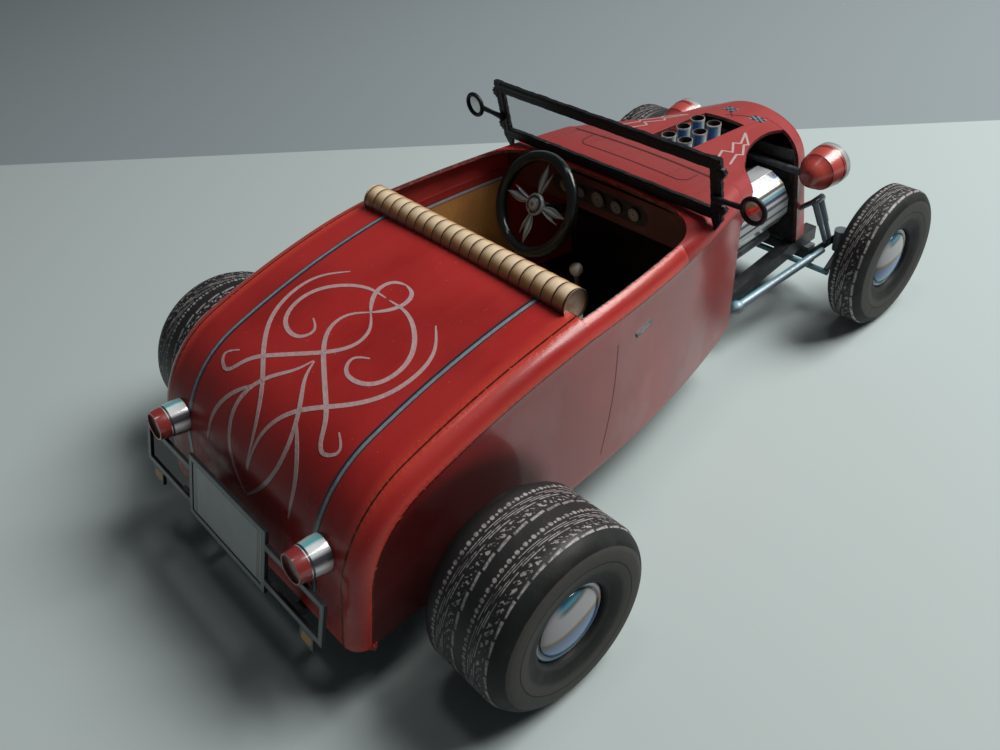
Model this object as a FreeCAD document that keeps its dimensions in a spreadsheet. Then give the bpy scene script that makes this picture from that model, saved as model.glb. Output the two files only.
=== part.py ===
import FreeCAD, Part
import math
import os
from types import SimpleNamespace

import Sketcher
from FreeCAD import Placement, Rotation, Vector

# Card model of a street rod roadster, 1:25. Millimetres, +X forward, +Y left, +Z up.
# The origin is under the middle of the model's box, on the floor.
# Places along the car are measured from the rear axle or, at the nose, from the front axle.

doc = FreeCAD.newDocument("street_rod_roadster")


class Size:
    """A length that remembers its formula, so that it can drive a property."""

    def __init__(self, value, text):
        self.value = value
        self.text = text

    @staticmethod
    def of(value):
        return value if isinstance(value, Size) else Size(float(value), repr(float(value)))

    def __add__(self, other):
        other = Size.of(other)
        return Size(self.value + other.value, f"({self.text} + {other.text})")

    def __sub__(self, other):
        other = Size.of(other)
        return Size(self.value - other.value, f"({self.text} - {other.text})")

    def __mul__(self, other):
        other = Size.of(other)
        return Size(self.value * other.value, f"({self.text} * {other.text})")

    def __truediv__(self, other):
        other = Size.of(other)
        return Size(self.value / other.value, f"({self.text} / {other.text})")

    def __radd__(self, other):
        return Size.of(other) + self

    def __rsub__(self, other):
        return Size.of(other) - self

    def __rmul__(self, other):
        return Size.of(other) * self

    def __neg__(self):
        return Size(-self.value, f"(0 - {self.text})")


# ---------------------------------------------------------------- driving sizes
SIZES = (
    # name, value (mm, or degrees where the name says tilt, rake, lean or slope)
    ("wheelbase", 105.0),
    ("rear_overhang", 27.3),
    ("card", 0.6),
    ("board", 1.0),
    ("axle_fit", 0.05),
    ("glue_line", 0.02),
    # tub, measured from the rear axle
    ("sill_height", 11.0),
    ("sill_half_width", 27.9),
    ("taper_start", 18.0),
    ("waist_place", 45.0),
    ("waist_tuck", 2.0),
    ("firewall_half_width", 20.7),
    ("tumblehome_slope", 2.2),
    ("shoulder_round", 3.0),
    # cockpit
    ("cockpit_rear", 25.0),
    ("cowl_depth", 13.0),
    ("rim_width", 1.0),
    ("cockpit_corner", 7.0),
    ("dash_depth", 7.0),
    ("dial_rise", 3.5),
    ("dial_half_height", 1.9),
    ("dial_round", 2.0),
    ("door_card_gap", 2.0),
    ("door_card_drop", 4.5),
    # frame
    ("rail_height", 3.0),
    ("rail_width", 2.5),
    ("rail_spread", 30.0),
    ("rail_rear", -20.5),
    ("rail_kick_gap", 2.0),
    ("rail_kick_rise", 2.2),
    ("rail_horn", 2.5),
    ("cross_width", 3.0),
    # hood and nose
    ("hood_length", 34.0),
    ("nose_reach", 1.0),
    ("nose_strip", 4.0),
    ("hood_tongue", 4.9),
    ("hood_hem_height", 33.3),
    ("hem_rise", 4.4),
    ("bay_shoulder_half", 20.2),
    ("bay_turn_run", 5.9),
    ("bay_turn_half", 14.2),
    ("bay_waist_run", 15.1),
    ("bay_waist_half", 9.0),
    ("bay_nose_half", 9.4),
    ("scoop_start", 7.0),
    ("scoop_length", 16.3),
    ("scoop_half_width", 4.7),
    ("radiator_depth", 4.2),
    ("grille_bars", 9),
    ("grille_slot", 1.1),
    # engine, measured from the firewall
    ("engine_length", 26.0),
    ("engine_base", 12.5),
    ("bank_half_spread", 8.4),
    ("bank_height", 23.5),
    ("bank_radius", 6.3),
    ("stack_radius", 1.4),
    ("stack_bore", 1.05),
    ("stack_pitch", 4.3),
    ("stack_half_spread", 1.95),
    ("stack_top", 40.7),
    ("manifold_top", 31.0),
    ("exhaust_radius", 1.1),
    # wheels
    ("rear_tyre_radius", 14.87),
    ("rear_tyre_standoff", 6.3),
    ("rear_tread_width", 12.3),
    ("rear_bulge", 2.2),
    ("rear_bulge_drop", 2.67),
    ("rear_hub_radius", 6.6),
    ("front_tyre_radius", 13.95),
    ("front_tread_inner", 28.3),
    ("front_tread_width", 5.2),
    ("front_bulge", 1.1),
    ("front_bulge_drop", 2.25),
    ("front_hub_radius", 6.2),
    ("hub_recess", 1.6),
    ("cap_dome", 1.5),
    ("pin_radius", 1.2),
    ("rear_tube_radius", 1.7),
    # front suspension
    ("beam_height", 2.2),
    ("beam_depth", 2.4),
    ("beam_drop", 5.9),
    ("beam_flat_half", 16.0),
    ("kingpin_inset", 6.3),
    ("kingpin_radius", 1.3),
    ("kingpin_length", 4.6),
    ("spring_leaf", 0.8),
    ("tie_rod_radius", 0.6),
    ("tie_rod_back", 4.5),
    ("tie_rod_height", 8.4),
    ("rod_radius", 0.9),
    ("rod_back", 26.6),
    ("rod_ball", 1.5),
    ("shock_radius", 0.7),
    ("shock_top", 23.4),
    ("shock_pitch", 2.0),
    ("shock_arm_reach", 4.6),
    # lamps
    ("headlight_radius", 4.2),
    ("headlight_length", 8.0),
    ("headlight_half_spread", 17.5),
    ("headlight_height", 29.9),
    ("headlight_back", 8.4),
    ("headlight_bar_radius", 0.7),
    ("lens_depth", 0.9),
    ("tail_lamp_base", 2.9),
    ("tail_lamp_face", 2.4),
    ("tail_lamp_length", 4.0),
    ("tail_lamp_half_spread", 20.4),
    ("tail_lamp_rise", 1.9),
    ("tail_lamp_tilt", 10.0),
    # windscreen
    ("screen_overhang", 0.15),
    ("screen_height", 11.85),
    ("screen_bar", 2.4),
    ("screen_rise", 0.65),
    ("screen_tip", 2.2),
    ("screen_rake", 7.0),
    ("screen_setback", 1.6),
    ("film", 0.3),
    ("mirror_radius", 2.5),
    ("mirror_reach", 6.25),
    ("mirror_setback", 1.6),
    ("mirror_rise", 5.15),
    ("mirror_stem", 0.8),
    ("stem_back", 0.1),
    ("stem_front", 0.4),
    # controls
    ("wheel_rim_radius", 8.7),
    ("wheel_rim_section", 1.1),
    ("wheel_setback", 6.7),
    ("wheel_drop", 5.0),
    ("wheel_offset", 9.5),
    ("wheel_tilt", 30.0),
    ("wheel_spoke_width", 2.2),
    ("wheel_hub_radius", 1.8),
    ("column_radius", 0.8),
    ("gear_lever_gap", 4.0),
    ("gear_knob_radius", 1.3),
    ("gear_knob_height", 25.5),
    # seat
    ("roll_radius", 2.6),
    ("roll_overhang", 0.5),
    ("roll_setback", 1.2),
    ("roll_rise", 0.6),
    ("seat_back_thick", 3.5),
    ("seat_clearance", 0.7),
    ("seat_top", 20.0),
    ("seat_depth", 18.0),
    # bumper
    ("bumper_half_width", 26.5),
    ("bumper_foot", 16.0),
    ("bumper_height", 7.4),
    ("bumper_strip", 1.0),
    ("bumper_lean", 18.0),
    ("plate_half_width", 11.5),
    ("plate_rise", 2.2),
    ("plate_drop", 1.6),
    ("tab_width", 3.4),
    ("tab_drop", 2.4),
    ("bracket_half_spread", 13.75),
)

# Side line of the tub: each point's place from the rear axle, its height, and how far the
# lining follows an inset of 1 mm forward and down there.
SIDE_LINE = (
    # point, place, height, inward, downward
    ("tail_foot", -23.3, 10.0, 1.0, 0.0),
    ("tail_top", -20.9, 22.0, 0.98, 0.2),
    ("haunch_mid", -16.4, 31.0, 0.74, 0.67),
    ("haunch_end", -8.0, 36.4, 0.3, 0.95),
    ("deck_mid", 8.3, 40.2, 0.17, 0.98),
    ("deck_front", 25.0, 42.0, 0.0, 1.0),
    ("cowl_front", 70.0, 40.8, 0.0, 1.0),
)

# Half sections of the hood: at the firewall and at the nose.
HOOD_SECTIONS = (
    # section, foot half width, foot height, waist half width, waist height,
    # corner half width, corner height, edge half width, edge height, crown height
    ("hood_rear", 21.0, 13.2, 21.7, 37.6, 20.9, 39.8, 18.6, 40.6, 41.2),
    ("hood_nose", 14.3, 13.2, 12.3, 29.0, 11.0, 33.2, 8.0, 36.0, 38.0),
)
HOOD_COLUMNS = ("foot_half", "foot_z", "waist_half", "waist_z", "corner_half", "corner_z",
                "edge_half", "edge_z", "crown_z")

rows = list(SIZES)
for point, place, height, inward, downward in SIDE_LINE:
    rows.append((point + "_place", place))
    rows.append((point + "_height", height))
for section, *values in HOOD_SECTIONS:
    rows.extend((f"{section}_{column}", value) for column, value in zip(HOOD_COLUMNS, values))

sheet = doc.addObject("Spreadsheet::Sheet", "dims")
for number, (name, value) in enumerate(rows, start=1):
    sheet.set(f"A{number}", name)
    sheet.set(f"B{number}", str(value))
    sheet.setAlias(f"B{number}", name)
d = SimpleNamespace(**{name: Size(float(value), "dims." + name) for name, value in rows})
doc.recompute()

# ---------------------------------------------------------------- shared places
rear_axle = (d.rear_overhang - d.wheelbase - d.front_tyre_radius) / 2
front_axle = rear_axle + d.wheelbase
nose_front = front_axle - d.nose_reach
firewall = nose_front - d.hood_length
deck_edge = rear_axle + d.cockpit_rear
dash_face = firewall - d.cowl_depth
cushion_front = deck_edge + d.seat_back_thick + d.seat_depth
screen_place = dash_face + d.screen_setback
screen_seat = d.cowl_front_height + d.screen_rise
waist_half = d.sill_half_width - d.waist_tuck
screen_half = waist_half + d.screen_overhang
mirror_half = screen_half + d.mirror_reach
mirror_height = screen_seat + d.mirror_rise
rear_tread_inner = d.sill_half_width + d.rear_tyre_standoff
kingpin_half = d.front_tread_inner - d.kingpin_inset
wheel_height = d.cowl_front_height - d.wheel_drop
roll_height = d.deck_front_height + d.roll_rise
rail_outer = d.rail_spread / 2
rail_inner = rail_outer - d.rail_width
rail_foot = d.sill_height - d.rail_height
rail_tip_foot = rail_foot + d.rail_kick_rise
rail_tip_top = rail_tip_foot + d.rail_height
FAR = 60.0                      # reach of a cutter past the model
PAST = 1.0                      # overrun of a cutter past a face
LEFT_RIGHT = (("left", 1), ("right", -1))


# ---------------------------------------------------------------- helpers
def bind(item, **formulas):
    """Drives properties of an object by formulas: Length=size, or BaseX=size for its place."""
    for key, size in formulas.items():
        path = {"BaseX": "Placement.Base.x", "BaseY": "Placement.Base.y",
                "BaseZ": "Placement.Base.z"}.get(key, key)
        item.setExpression(path, Size.of(size).text)


def new_body(name):
    body = doc.addObject("PartDesign::Body", name)
    body.Label = name
    return body


def new_sketch(body, plane, offset):
    """Sketch on one of the body's own origin planes, moved along that plane's normal."""
    role = {"XY": "XY_Plane", "XZ": "XZ_Plane", "YZ": "YZ_Plane"}[plane]
    base = [item for item in body.Origin.OriginFeatures if item.Role == role][0]
    sketch = body.newObject("Sketcher::SketchObject", body.Name + "_sketch")
    sketch.AttachmentSupport = [(base, "")]
    sketch.MapMode = "FlatFace"
    sketch.setExpression("AttachmentOffset.Base.z", Size.of(offset).text)
    return sketch


def pin_point(sketch, geometry, end, u, v):
    for kind, size in (("DistanceX", u), ("DistanceY", v)):
        number = sketch.addConstraint(Sketcher.Constraint(kind, -1, 1, geometry, end, size.value))
        sketch.setExpression(f"Constraints[{number}]", size.text)


def draw_outline(sketch, corners):
    """Closed outline. A corner is (u, v), or (u, v, (mid_u, mid_v)) where an arc leaves it."""
    corners = [tuple(corner) for corner in corners]
    points = [(Size.of(corner[0]), Size.of(corner[1])) for corner in corners]
    edges = []
    for number, corner in enumerate(corners):
        start = Vector(points[number][0].value, points[number][1].value, 0)
        after = points[(number + 1) % len(points)]
        end = Vector(after[0].value, after[1].value, 0)
        if len(corner) == 2:
            edges.append((sketch.addGeometry(Part.LineSegment(start, end), False), 1, 2))
            continue
        mid_u, mid_v = (Size.of(size) for size in corner[2])
        middle = Vector(mid_u.value, mid_v.value, 0)
        arc = sketch.addGeometry(Part.Arc(start, middle, end), False)
        forward = sketch.getPoint(arc, 1).distanceToPoint(start) < 1e-6
        edges.append((arc, 1, 2) if forward else (arc, 2, 1))
        mark = sketch.addGeometry(Part.Point(middle), True)
        pin_point(sketch, mark, 1, mid_u, mid_v)
        sketch.addConstraint(Sketcher.Constraint("PointOnObject", mark, 1, arc))
    for number, (edge, start, end) in enumerate(edges):
        after, after_start, _ = edges[(number + 1) % len(edges)]
        sketch.addConstraint(Sketcher.Constraint("Coincident", edge, end, after, after_start))
        pin_point(sketch, edge, start, *points[number])


def draw_circle(sketch, u, v, radius):
    u, v, radius = Size.of(u), Size.of(v), Size.of(radius)
    circle = sketch.addGeometry(
        Part.Circle(Vector(u.value, v.value, 0), Vector(0, 0, 1), radius.value), False)
    pin_point(sketch, circle, 3, u, v)
    number = sketch.addConstraint(Sketcher.Constraint("Radius", circle, radius.value))
    sketch.setExpression(f"Constraints[{number}]", radius.text)


def pad(body, plane, start, length, *outlines, circles=(), taper=None):
    """Pads outlines between start and start + length along the plane's own axis."""
    start, length = Size.of(start), Size.of(length)
    offset = -(start + length) if plane == "XZ" else start
    sketch = new_sketch(body, plane, offset)
    for corners in outlines:
        draw_outline(sketch, corners)
    for circle in circles:
        draw_circle(sketch, *circle)
    feature = body.newObject("PartDesign::Pad", body.Name + "_pad")
    feature.Profile = sketch
    bind(feature, Length=length)
    if taper is not None:
        bind(feature, TaperAngle=taper)
    return feature


def pocket(body, plane, start, length, *outlines, circles=()):
    """Cuts outlines away between start and start + length along the plane's own axis."""
    start, length = Size.of(start), Size.of(length)
    offset = -start if plane == "XZ" else start + length
    sketch = new_sketch(body, plane, offset)
    for corners in outlines:
        draw_outline(sketch, corners)
    for circle in circles:
        draw_circle(sketch, *circle)
    feature = body.newObject("PartDesign::Pocket", body.Name + "_pocket")
    feature.Profile = sketch
    bind(feature, Length=length)
    return feature


def revolve(body, corners):
    """Turns a half section (place along the axis, radius) about the body's own X axis."""
    sketch = new_sketch(body, "XY", 0)
    draw_outline(sketch, corners)
    feature = body.newObject("PartDesign::Revolution", body.Name + "_turn")
    feature.Profile = sketch
    feature.ReferenceAxis = (sketch, ["H_Axis"])
    feature.Angle = 360.0
    return feature


def rectangle(u_low, u_high, v_low, v_high):
    return [(u_low, v_low), (u_high, v_low), (u_high, v_high), (u_low, v_high)]


def box(name, x_low, x_high, y_low, y_high, z_low, z_high):
    item = doc.addObject("Part::Box", name)
    bind(item, Length=Size.of(x_high) - x_low, Width=Size.of(y_high) - y_low,
         Height=Size.of(z_high) - z_low, BaseX=x_low, BaseY=y_low, BaseZ=z_low)
    return item


def cylinder(name, start, axis, length, radius):
    """Cylinder from a start point along +X, +Y or +Z."""
    item = doc.addObject("Part::Cylinder", name)
    turn = {"X": Rotation(Vector(0, 1, 0), 90), "Y": Rotation(Vector(1, 0, 0), -90),
            "Z": Rotation()}[axis]
    item.Placement = Placement(Vector(), turn)
    bind(item, Height=length, Radius=radius, BaseX=start[0], BaseY=start[1], BaseZ=start[2])
    return item


def rod(name, start, end, radius):
    """Straight round rod between two points."""
    first = Vector(*(Size.of(size).value for size in start))
    last = Vector(*(Size.of(size).value for size in end))
    item = doc.addObject("Part::Feature", name)
    item.Shape = Part.makeCylinder(Size.of(radius).value, (last - first).Length,
                                   Vector(), Vector(0, 0, 1))
    item.Placement = Placement(first, Rotation(Vector(0, 0, 1), last - first))
    return item


def joined(kind, name, items):
    item = doc.addObject(kind, name)
    setattr(item, "Links" if kind == "Part::Compound" else "Shapes", list(items))
    return item


def fuse(name, *items):
    return joined("Part::MultiFuse", name, items)


def group(name, *items):
    """Like pieces that don't touch, as one sub-part."""
    return joined("Part::Compound", name, items)


def cut(name, base, tool):
    item = doc.addObject("Part::Cut", name)
    item.Base = base
    item.Tool = tool
    return item


def common(name, base, tool):
    item = doc.addObject("Part::Common", name)
    item.Base = base
    item.Tool = tool
    return item


sub_parts = []


def sub_part(item, label):
    item.Label = label
    sub_parts.append(item)
    return item


# ---------------------------------------------------------------- tub
def tub_plan(inset):
    """Plan of the tub: straight flanks, then one arc each side in to the firewall."""
    rear = rear_axle + d.tail_foot_place - PAST
    wide = d.sill_half_width - inset
    waist = waist_half - inset
    front = d.firewall_half_width - inset
    bend = rear_axle + d.taper_start
    middle = rear_axle + d.waist_place
    return [(rear, -wide), (bend, -wide, (middle, -waist)), (firewall, -front),
            (firewall, front, (middle, waist)), (bend, wide), (rear, wide)]


def side_line(inset):
    """Points of the tub's side line, `inset` inside its outer skin."""
    return {point: (rear_axle + getattr(d, point + "_place") + inward * inset,
                    getattr(d, point + "_height") - downward * inset)
            for point, place, height, inward, downward in SIDE_LINE}


def tub_form(name, inset, round_over):
    """The tub as a plain solid, `inset` inside its outer skin."""
    body = new_body(name)
    pad(body, "XY", d.sill_height, FAR, tub_plan(inset), taper=d.tumblehome_slope)
    line = side_line(inset)
    above = [line["tail_foot"],
             (*line["tail_top"], line["haunch_mid"]),
             (*line["haunch_end"], line["deck_mid"]),
             line["deck_front"], line["cowl_front"],
             (firewall + FAR, line["cowl_front"][1]), (firewall + FAR, 2 * FAR),
             (rear_axle - FAR, 2 * FAR), (rear_axle - FAR, line["tail_foot"][1])]
    trim = pocket(body, "XZ", -FAR, 2 * FAR, above)
    doc.recompute()
    edges = []
    for number, edge in enumerate(body.Shape.Edges, start=1):
        room = edge.BoundBox
        across = room.YMin < 0 < room.YMax
        at_sill = room.ZMax < d.sill_height.value + PAST
        at_front = room.XMin > firewall.value - PAST
        upright = room.XLength < 0.01
        if not (across or at_sill or at_front or upright):
            edges.append(f"Edge{number}")
    fillet = body.newObject("PartDesign::Fillet", name + "_shoulder")
    fillet.Base = (trim, edges)
    bind(fillet, Radius=round_over)
    return body


outer_form = tub_form("outer_form", Size.of(0), d.shoulder_round)
inner_form = tub_form("inner_form", d.card, d.shoulder_round - d.card)
lining_form = tub_form("lining_form", 2 * d.card, d.shoulder_round - 2 * d.card)

cockpit_form = new_body("cockpit_form")
pad(cockpit_form, "XY", d.sill_height, FAR, tub_plan(d.rim_width))
pocket(cockpit_form, "XY", 0, 2 * FAR,
       rectangle(rear_axle - FAR, deck_edge, -FAR, FAR),
       rectangle(dash_face, firewall + PAST, -FAR, FAR))
doc.recompute()
dash_corners = [f"Edge{number}" for number, edge in enumerate(cockpit_form.Shape.Edges, start=1)
                if edge.BoundBox.XMin > dash_face.value - 0.01
                and edge.BoundBox.ZLength > PAST]
trimmed = cockpit_form.Tip
corner_round = cockpit_form.newObject("PartDesign::Fillet", "cockpit_corners")
corner_round.Base = (trimmed, dash_corners)
bind(corner_round, Radius=d.cockpit_corner)

# Below the flank seam: the side line lowered by the shoulder's radius, right across the tub.
flank_slab = new_body("flank_slab")
low = side_line(d.shoulder_round)
pad(flank_slab, "XZ", -FAR, 2 * FAR,
    [low["tail_foot"], (*low["tail_top"], low["haunch_mid"]),
     (*low["haunch_end"], low["deck_mid"]), low["deck_front"], low["cowl_front"],
     (firewall + PAST, low["cowl_front"][1]),
     (firewall + PAST, low["tail_foot"][1])])

skin = cut("open_skin", cut("closed_skin", outer_form, inner_form), cockpit_form)
seam_half = d.sill_half_width - d.shoulder_round + PAST
cowl_seam = dash_face - d.cockpit_corner
tail_limit = rear_axle - FAR
axle_bore = cylinder("axle_bore", (rear_axle, -FAR, d.rear_tyre_radius), "Y", 2 * FAR,
                     d.rear_tube_radius + d.glue_line)
flanks = cut("bored_flanks", common("flanks", skin, flank_slab), axle_bore)
upper_skin = cut("upper_skin", skin, flank_slab)
for side, sign in LEFT_RIGHT:
    low_y, high_y = (0, FAR) if sign > 0 else (-FAR, 0)
    half = box(f"{side}_half", tail_limit, firewall, low_y, high_y, 0, 2 * FAR)
    sub_part(common(f"flank_{side}", flanks, half), f"body_side_{side}")
    rim_room = box(f"{side}_rim_room", tail_limit, cowl_seam, low_y, high_y, 0, 2 * FAR)
    deck_room = box(f"{side}_deck_room", tail_limit, deck_edge, -seam_half, seam_half, 0, 2 * FAR)
    rim = common(f"{side}_upper", upper_skin, rim_room)
    sub_part(cut(f"shoulder_{side}_cut", rim, deck_room), f"body_shoulder_{side}")

sub_part(common("deck", upper_skin, box("deck_room", tail_limit, deck_edge, -seam_half,
                                        seam_half, 0, 2 * FAR)), "deck_panel")
sub_part(common("cowl", upper_skin, box("cowl_room", cowl_seam, firewall, -FAR, FAR,
                                        0, 2 * FAR)), "cowl_panel")


def inner_sheet(label, front, back, foot, top):
    """A sheet across the tub that fills its inside between two places and two heights."""
    room = box(label + "_room", back, front, -FAR, FAR, foot, top)
    return sub_part(common(label + "_sheet", inner_form, room), label)


floor_top = d.sill_height + d.card
inner_sheet("floor_pan", firewall, tail_limit, d.sill_height, floor_top)
inner_sheet("firewall", firewall, firewall - d.card, floor_top, 2 * FAR)
inner_sheet("seat_bulkhead", deck_edge, deck_edge - d.card, floor_top, 2 * FAR)
dash_foot = d.cowl_front_height - d.dash_depth
inner_sheet("dashboard", dash_face + d.card, dash_face, dash_foot, 2 * FAR)

lining = cut("lining", inner_form, lining_form)
card_room = box("door_card_room", deck_edge + d.door_card_gap, dash_face - d.door_card_gap,
                -FAR, FAR, floor_top, d.cowl_front_height - d.door_card_drop)
sub_part(common("door_card_sheets", lining, card_room), "door_cards")

# ---------------------------------------------------------------- hood, nose and grille


def hood_section(name, place, section, inset):
    """Arch across the hood: flank, rounded corner and crowned top, closed along its foot."""
    size = {column: getattr(d, f"{section}_{column}") for column in HOOD_COLUMNS}
    foot = size["foot_half"] - inset
    waist = size["waist_half"] - inset
    corner = size["corner_half"] - inset * 0.8
    corner_z = size["corner_z"] - inset * 0.6
    edge = size["edge_half"] - inset * 0.3
    edge_z = size["edge_z"] - inset
    crown_z = size["crown_z"] - inset
    sketch = doc.addObject("Sketcher::SketchObject", name)
    sketch.Placement = Placement(Vector(), Rotation(Vector(1, 1, 1), 120))
    draw_outline(sketch, [
        (-foot, size["foot_z"]), (foot, size["foot_z"]),
        (waist, size["waist_z"], (corner, corner_z)),
        (edge, edge_z, (Size.of(0), crown_z)),
        (-edge, edge_z, (-corner, corner_z)),
        (-waist, size["waist_z"])])
    bind(sketch, BaseX=place)
    return sketch


def hood_form(name, inset):
    loft = doc.addObject("Part::Loft", name)
    loft.Sections = [hood_section(name + "_rear", firewall, "hood_rear", inset),
                     hood_section(name + "_nose", nose_front, "hood_nose", inset)]
    loft.Solid = True
    loft.Ruled = True
    return loft


hood_outer = hood_form("hood_outer", Size.of(0))
hood_inner = hood_form("hood_inner", d.card)
hem_top = d.hood_hem_height
strip_back = nose_front - d.nose_strip
tongue = firewall + d.hood_tongue
turn_place = tongue + d.bay_turn_run
waist_place = turn_place + d.bay_waist_run
bay = new_body("engine_bay_opening")
pad(bay, "XZ", -FAR, 2 * FAR,
    [(firewall - PAST, d.hood_rear_foot_z - PAST), (tongue, d.hood_rear_foot_z - PAST),
     (tongue, hem_top + d.hem_rise), (firewall - PAST, hem_top)])
for side, sign in LEFT_RIGHT:
    pad(bay, "XY", 0, 2 * FAR,
        [(tongue, sign * FAR),
         (tongue, sign * d.bay_shoulder_half,
          (tongue + d.bay_turn_run * 0.4,
           sign * (d.bay_shoulder_half * 0.44 + d.bay_turn_half * 0.56))),
         (turn_place, sign * d.bay_turn_half,
          (turn_place + d.bay_waist_run * 0.47,
           sign * (d.bay_turn_half * 0.28 + d.bay_waist_half * 0.72))),
         (waist_place, sign * d.bay_waist_half), (strip_back, sign * d.bay_nose_half),
         (strip_back, sign * FAR)])
scoop = box("hood_scoop", firewall + d.scoop_start, firewall + d.scoop_start + d.scoop_length,
            -d.scoop_half_width, d.scoop_half_width, hem_top, 2 * FAR)
hood_sheet = cut("hood_sheet", hood_outer, hood_inner)
sub_part(cut("hood_open", cut("hood_sides_open", hood_sheet, bay), scoop), "hood_shell")

grille_back = nose_front - d.card
grille_plate = common("grille_plate", hood_inner,
                      box("grille_room", grille_back, nose_front, -FAR, FAR, 0, 2 * FAR))
slot_count = int(d.grille_bars.value)
slot_pitch = 2 * (d.hood_nose_edge_half - d.board) / slot_count
slots = []
for number in range(slot_count):
    middle = slot_pitch * (number - (slot_count - 1) / 2)
    slots.append(box(f"grille_slot_{number}", grille_back - PAST, nose_front + PAST,
                     middle - d.grille_slot / 2, middle + d.grille_slot / 2,
                     d.hood_nose_foot_z + 2 * d.board, d.hood_nose_corner_z))
sub_part(cut("grille_cut", grille_plate, fuse("grille_slots", *slots)), "grille")
sub_part(common("radiator_core", hood_inner,
                box("radiator_room", grille_back - d.radiator_depth, grille_back, -FAR, FAR,
                    0, d.hood_nose_corner_z)), "radiator")

# ---------------------------------------------------------------- frame
rail_rear = rear_axle + d.rail_rear
rail_kick = firewall + d.rail_kick_gap
rail_tip = front_axle + d.rail_horn
rail_side = [(rail_rear, rail_foot), (rail_kick, rail_foot), (front_axle - d.nose_reach,
             rail_tip_foot), (rail_tip, rail_tip_foot), (rail_tip, rail_tip_top),
             (front_axle - d.nose_reach, rail_tip_top), (rail_kick, d.sill_height),
             (rail_rear, d.sill_height)]
frame = new_body("ladder_frame")
pad(frame, "XZ", rail_inner, d.rail_width, rail_side)
CROSSMEMBERS = (
    # rear edge, foot height
    (rail_rear, rail_foot),
    (rear_axle + d.taper_start, rail_foot),
    (rear_axle + d.waist_place, rail_foot),
    (firewall, rail_foot),
    (front_axle - d.cross_width / 2, rail_tip_foot),
)
for back, foot in CROSSMEMBERS:
    pad(frame, "XY", foot, d.rail_height,
        rectangle(back, back + d.cross_width, -rail_inner, rail_inner))
pad(frame, "XZ", -rail_outer, d.rail_width, rail_side)
sub_part(frame, "chassis_frame")

# ---------------------------------------------------------------- engine
engine_back = firewall
bank = d.bank_half_spread
slope = math.sqrt(0.5)
base_reach = d.bank_radius * slope
sump_half = bank * 0.8
block = new_body("block")
pad(block, "YZ", engine_back, d.engine_length,
    [(-sump_half, d.engine_base), (sump_half, d.engine_base),
     (bank + base_reach, d.bank_height - base_reach),
     (bank - base_reach, d.bank_height + base_reach),
     (-(bank - base_reach), d.bank_height + base_reach),
     (-(bank + base_reach), d.bank_height - base_reach)])
sub_part(block, "engine_block")

covers = []
COVER_FACETS = 6
for side, sign in LEFT_RIGHT:
    cover = new_body(f"cover_{side}")
    facets = []
    for number in range(COVER_FACETS + 1):
        turn = math.radians(-45 + 180 * number / COVER_FACETS)
        facets.append((sign * (bank + d.bank_radius * math.cos(turn)),
                       d.bank_height + d.bank_radius * math.sin(turn)))
    pad(cover, "YZ", engine_back, d.engine_length, facets)
    covers.append(cover)
sub_part(group("covers", *covers), "valve_covers")

manifold_foot = d.bank_height + base_reach
manifold = new_body("manifold")
pad(manifold, "YZ", engine_back + 2 * d.board, d.engine_length - 4 * d.board,
    [(-(bank - base_reach), manifold_foot), (bank - base_reach, manifold_foot),
     (d.stack_half_spread + d.stack_radius, d.manifold_top),
     (-(d.stack_half_spread + d.stack_radius), d.manifold_top)])
sub_part(manifold, "intake_manifold")

stacks = []
stack_middle = engine_back + d.engine_length / 2
for row in (-1, 0, 1):
    for sign in (1, -1):
        name = f"stack_{row + 1}_{'left' if sign > 0 else 'right'}"
        foot = (stack_middle + row * d.stack_pitch, sign * d.stack_half_spread, d.manifold_top)
        reach = d.stack_top - d.manifold_top
        bore_foot = (foot[0], foot[1], d.manifold_top + d.board)
        stacks.append(cut(name, cylinder(name + "_pipe", foot, "Z", reach, d.stack_radius),
                          cylinder(name + "_bore", bore_foot, "Z", reach, d.stack_bore)))
sub_part(group("stacks", *stacks), "intake_stacks")

headers = []
header_height = d.engine_base + 3 * d.exhaust_radius
flank_run = bank + base_reach - sump_half
flank_rise = d.bank_height - base_reach - d.engine_base
header_half = (sump_half + flank_run * (header_height - d.engine_base) / flank_rise
               + d.exhaust_radius * 0.8)
for side, sign in LEFT_RIGHT:
    pipe = cylinder(f"header_{side}_pipe", (engine_back, sign * header_half, header_height), "X",
                    d.engine_length - d.board, d.exhaust_radius)
    headers.append(cut(f"header_{side}", pipe, block))
sub_part(group("headers", *headers), "exhaust_headers")

# ---------------------------------------------------------------- wheels
WHEELS = (
    # axle, end of the car, place, names of its sizes
    ("rear", rear_axle, d.rear_tyre_radius, rear_tread_inner, d.rear_tread_width,
     d.rear_bulge, d.rear_bulge_drop, d.rear_hub_radius),
    ("front", front_axle, d.front_tyre_radius, d.front_tread_inner, d.front_tread_width,
     d.front_bulge, d.front_bulge_drop, d.front_hub_radius),
)
TYRE_TURN = {1: Rotation(Vector(0, 0, 1), 90), -1: Rotation(Vector(0, 0, 1), -90)}
hub_bore = d.pin_radius + d.axle_fit


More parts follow.
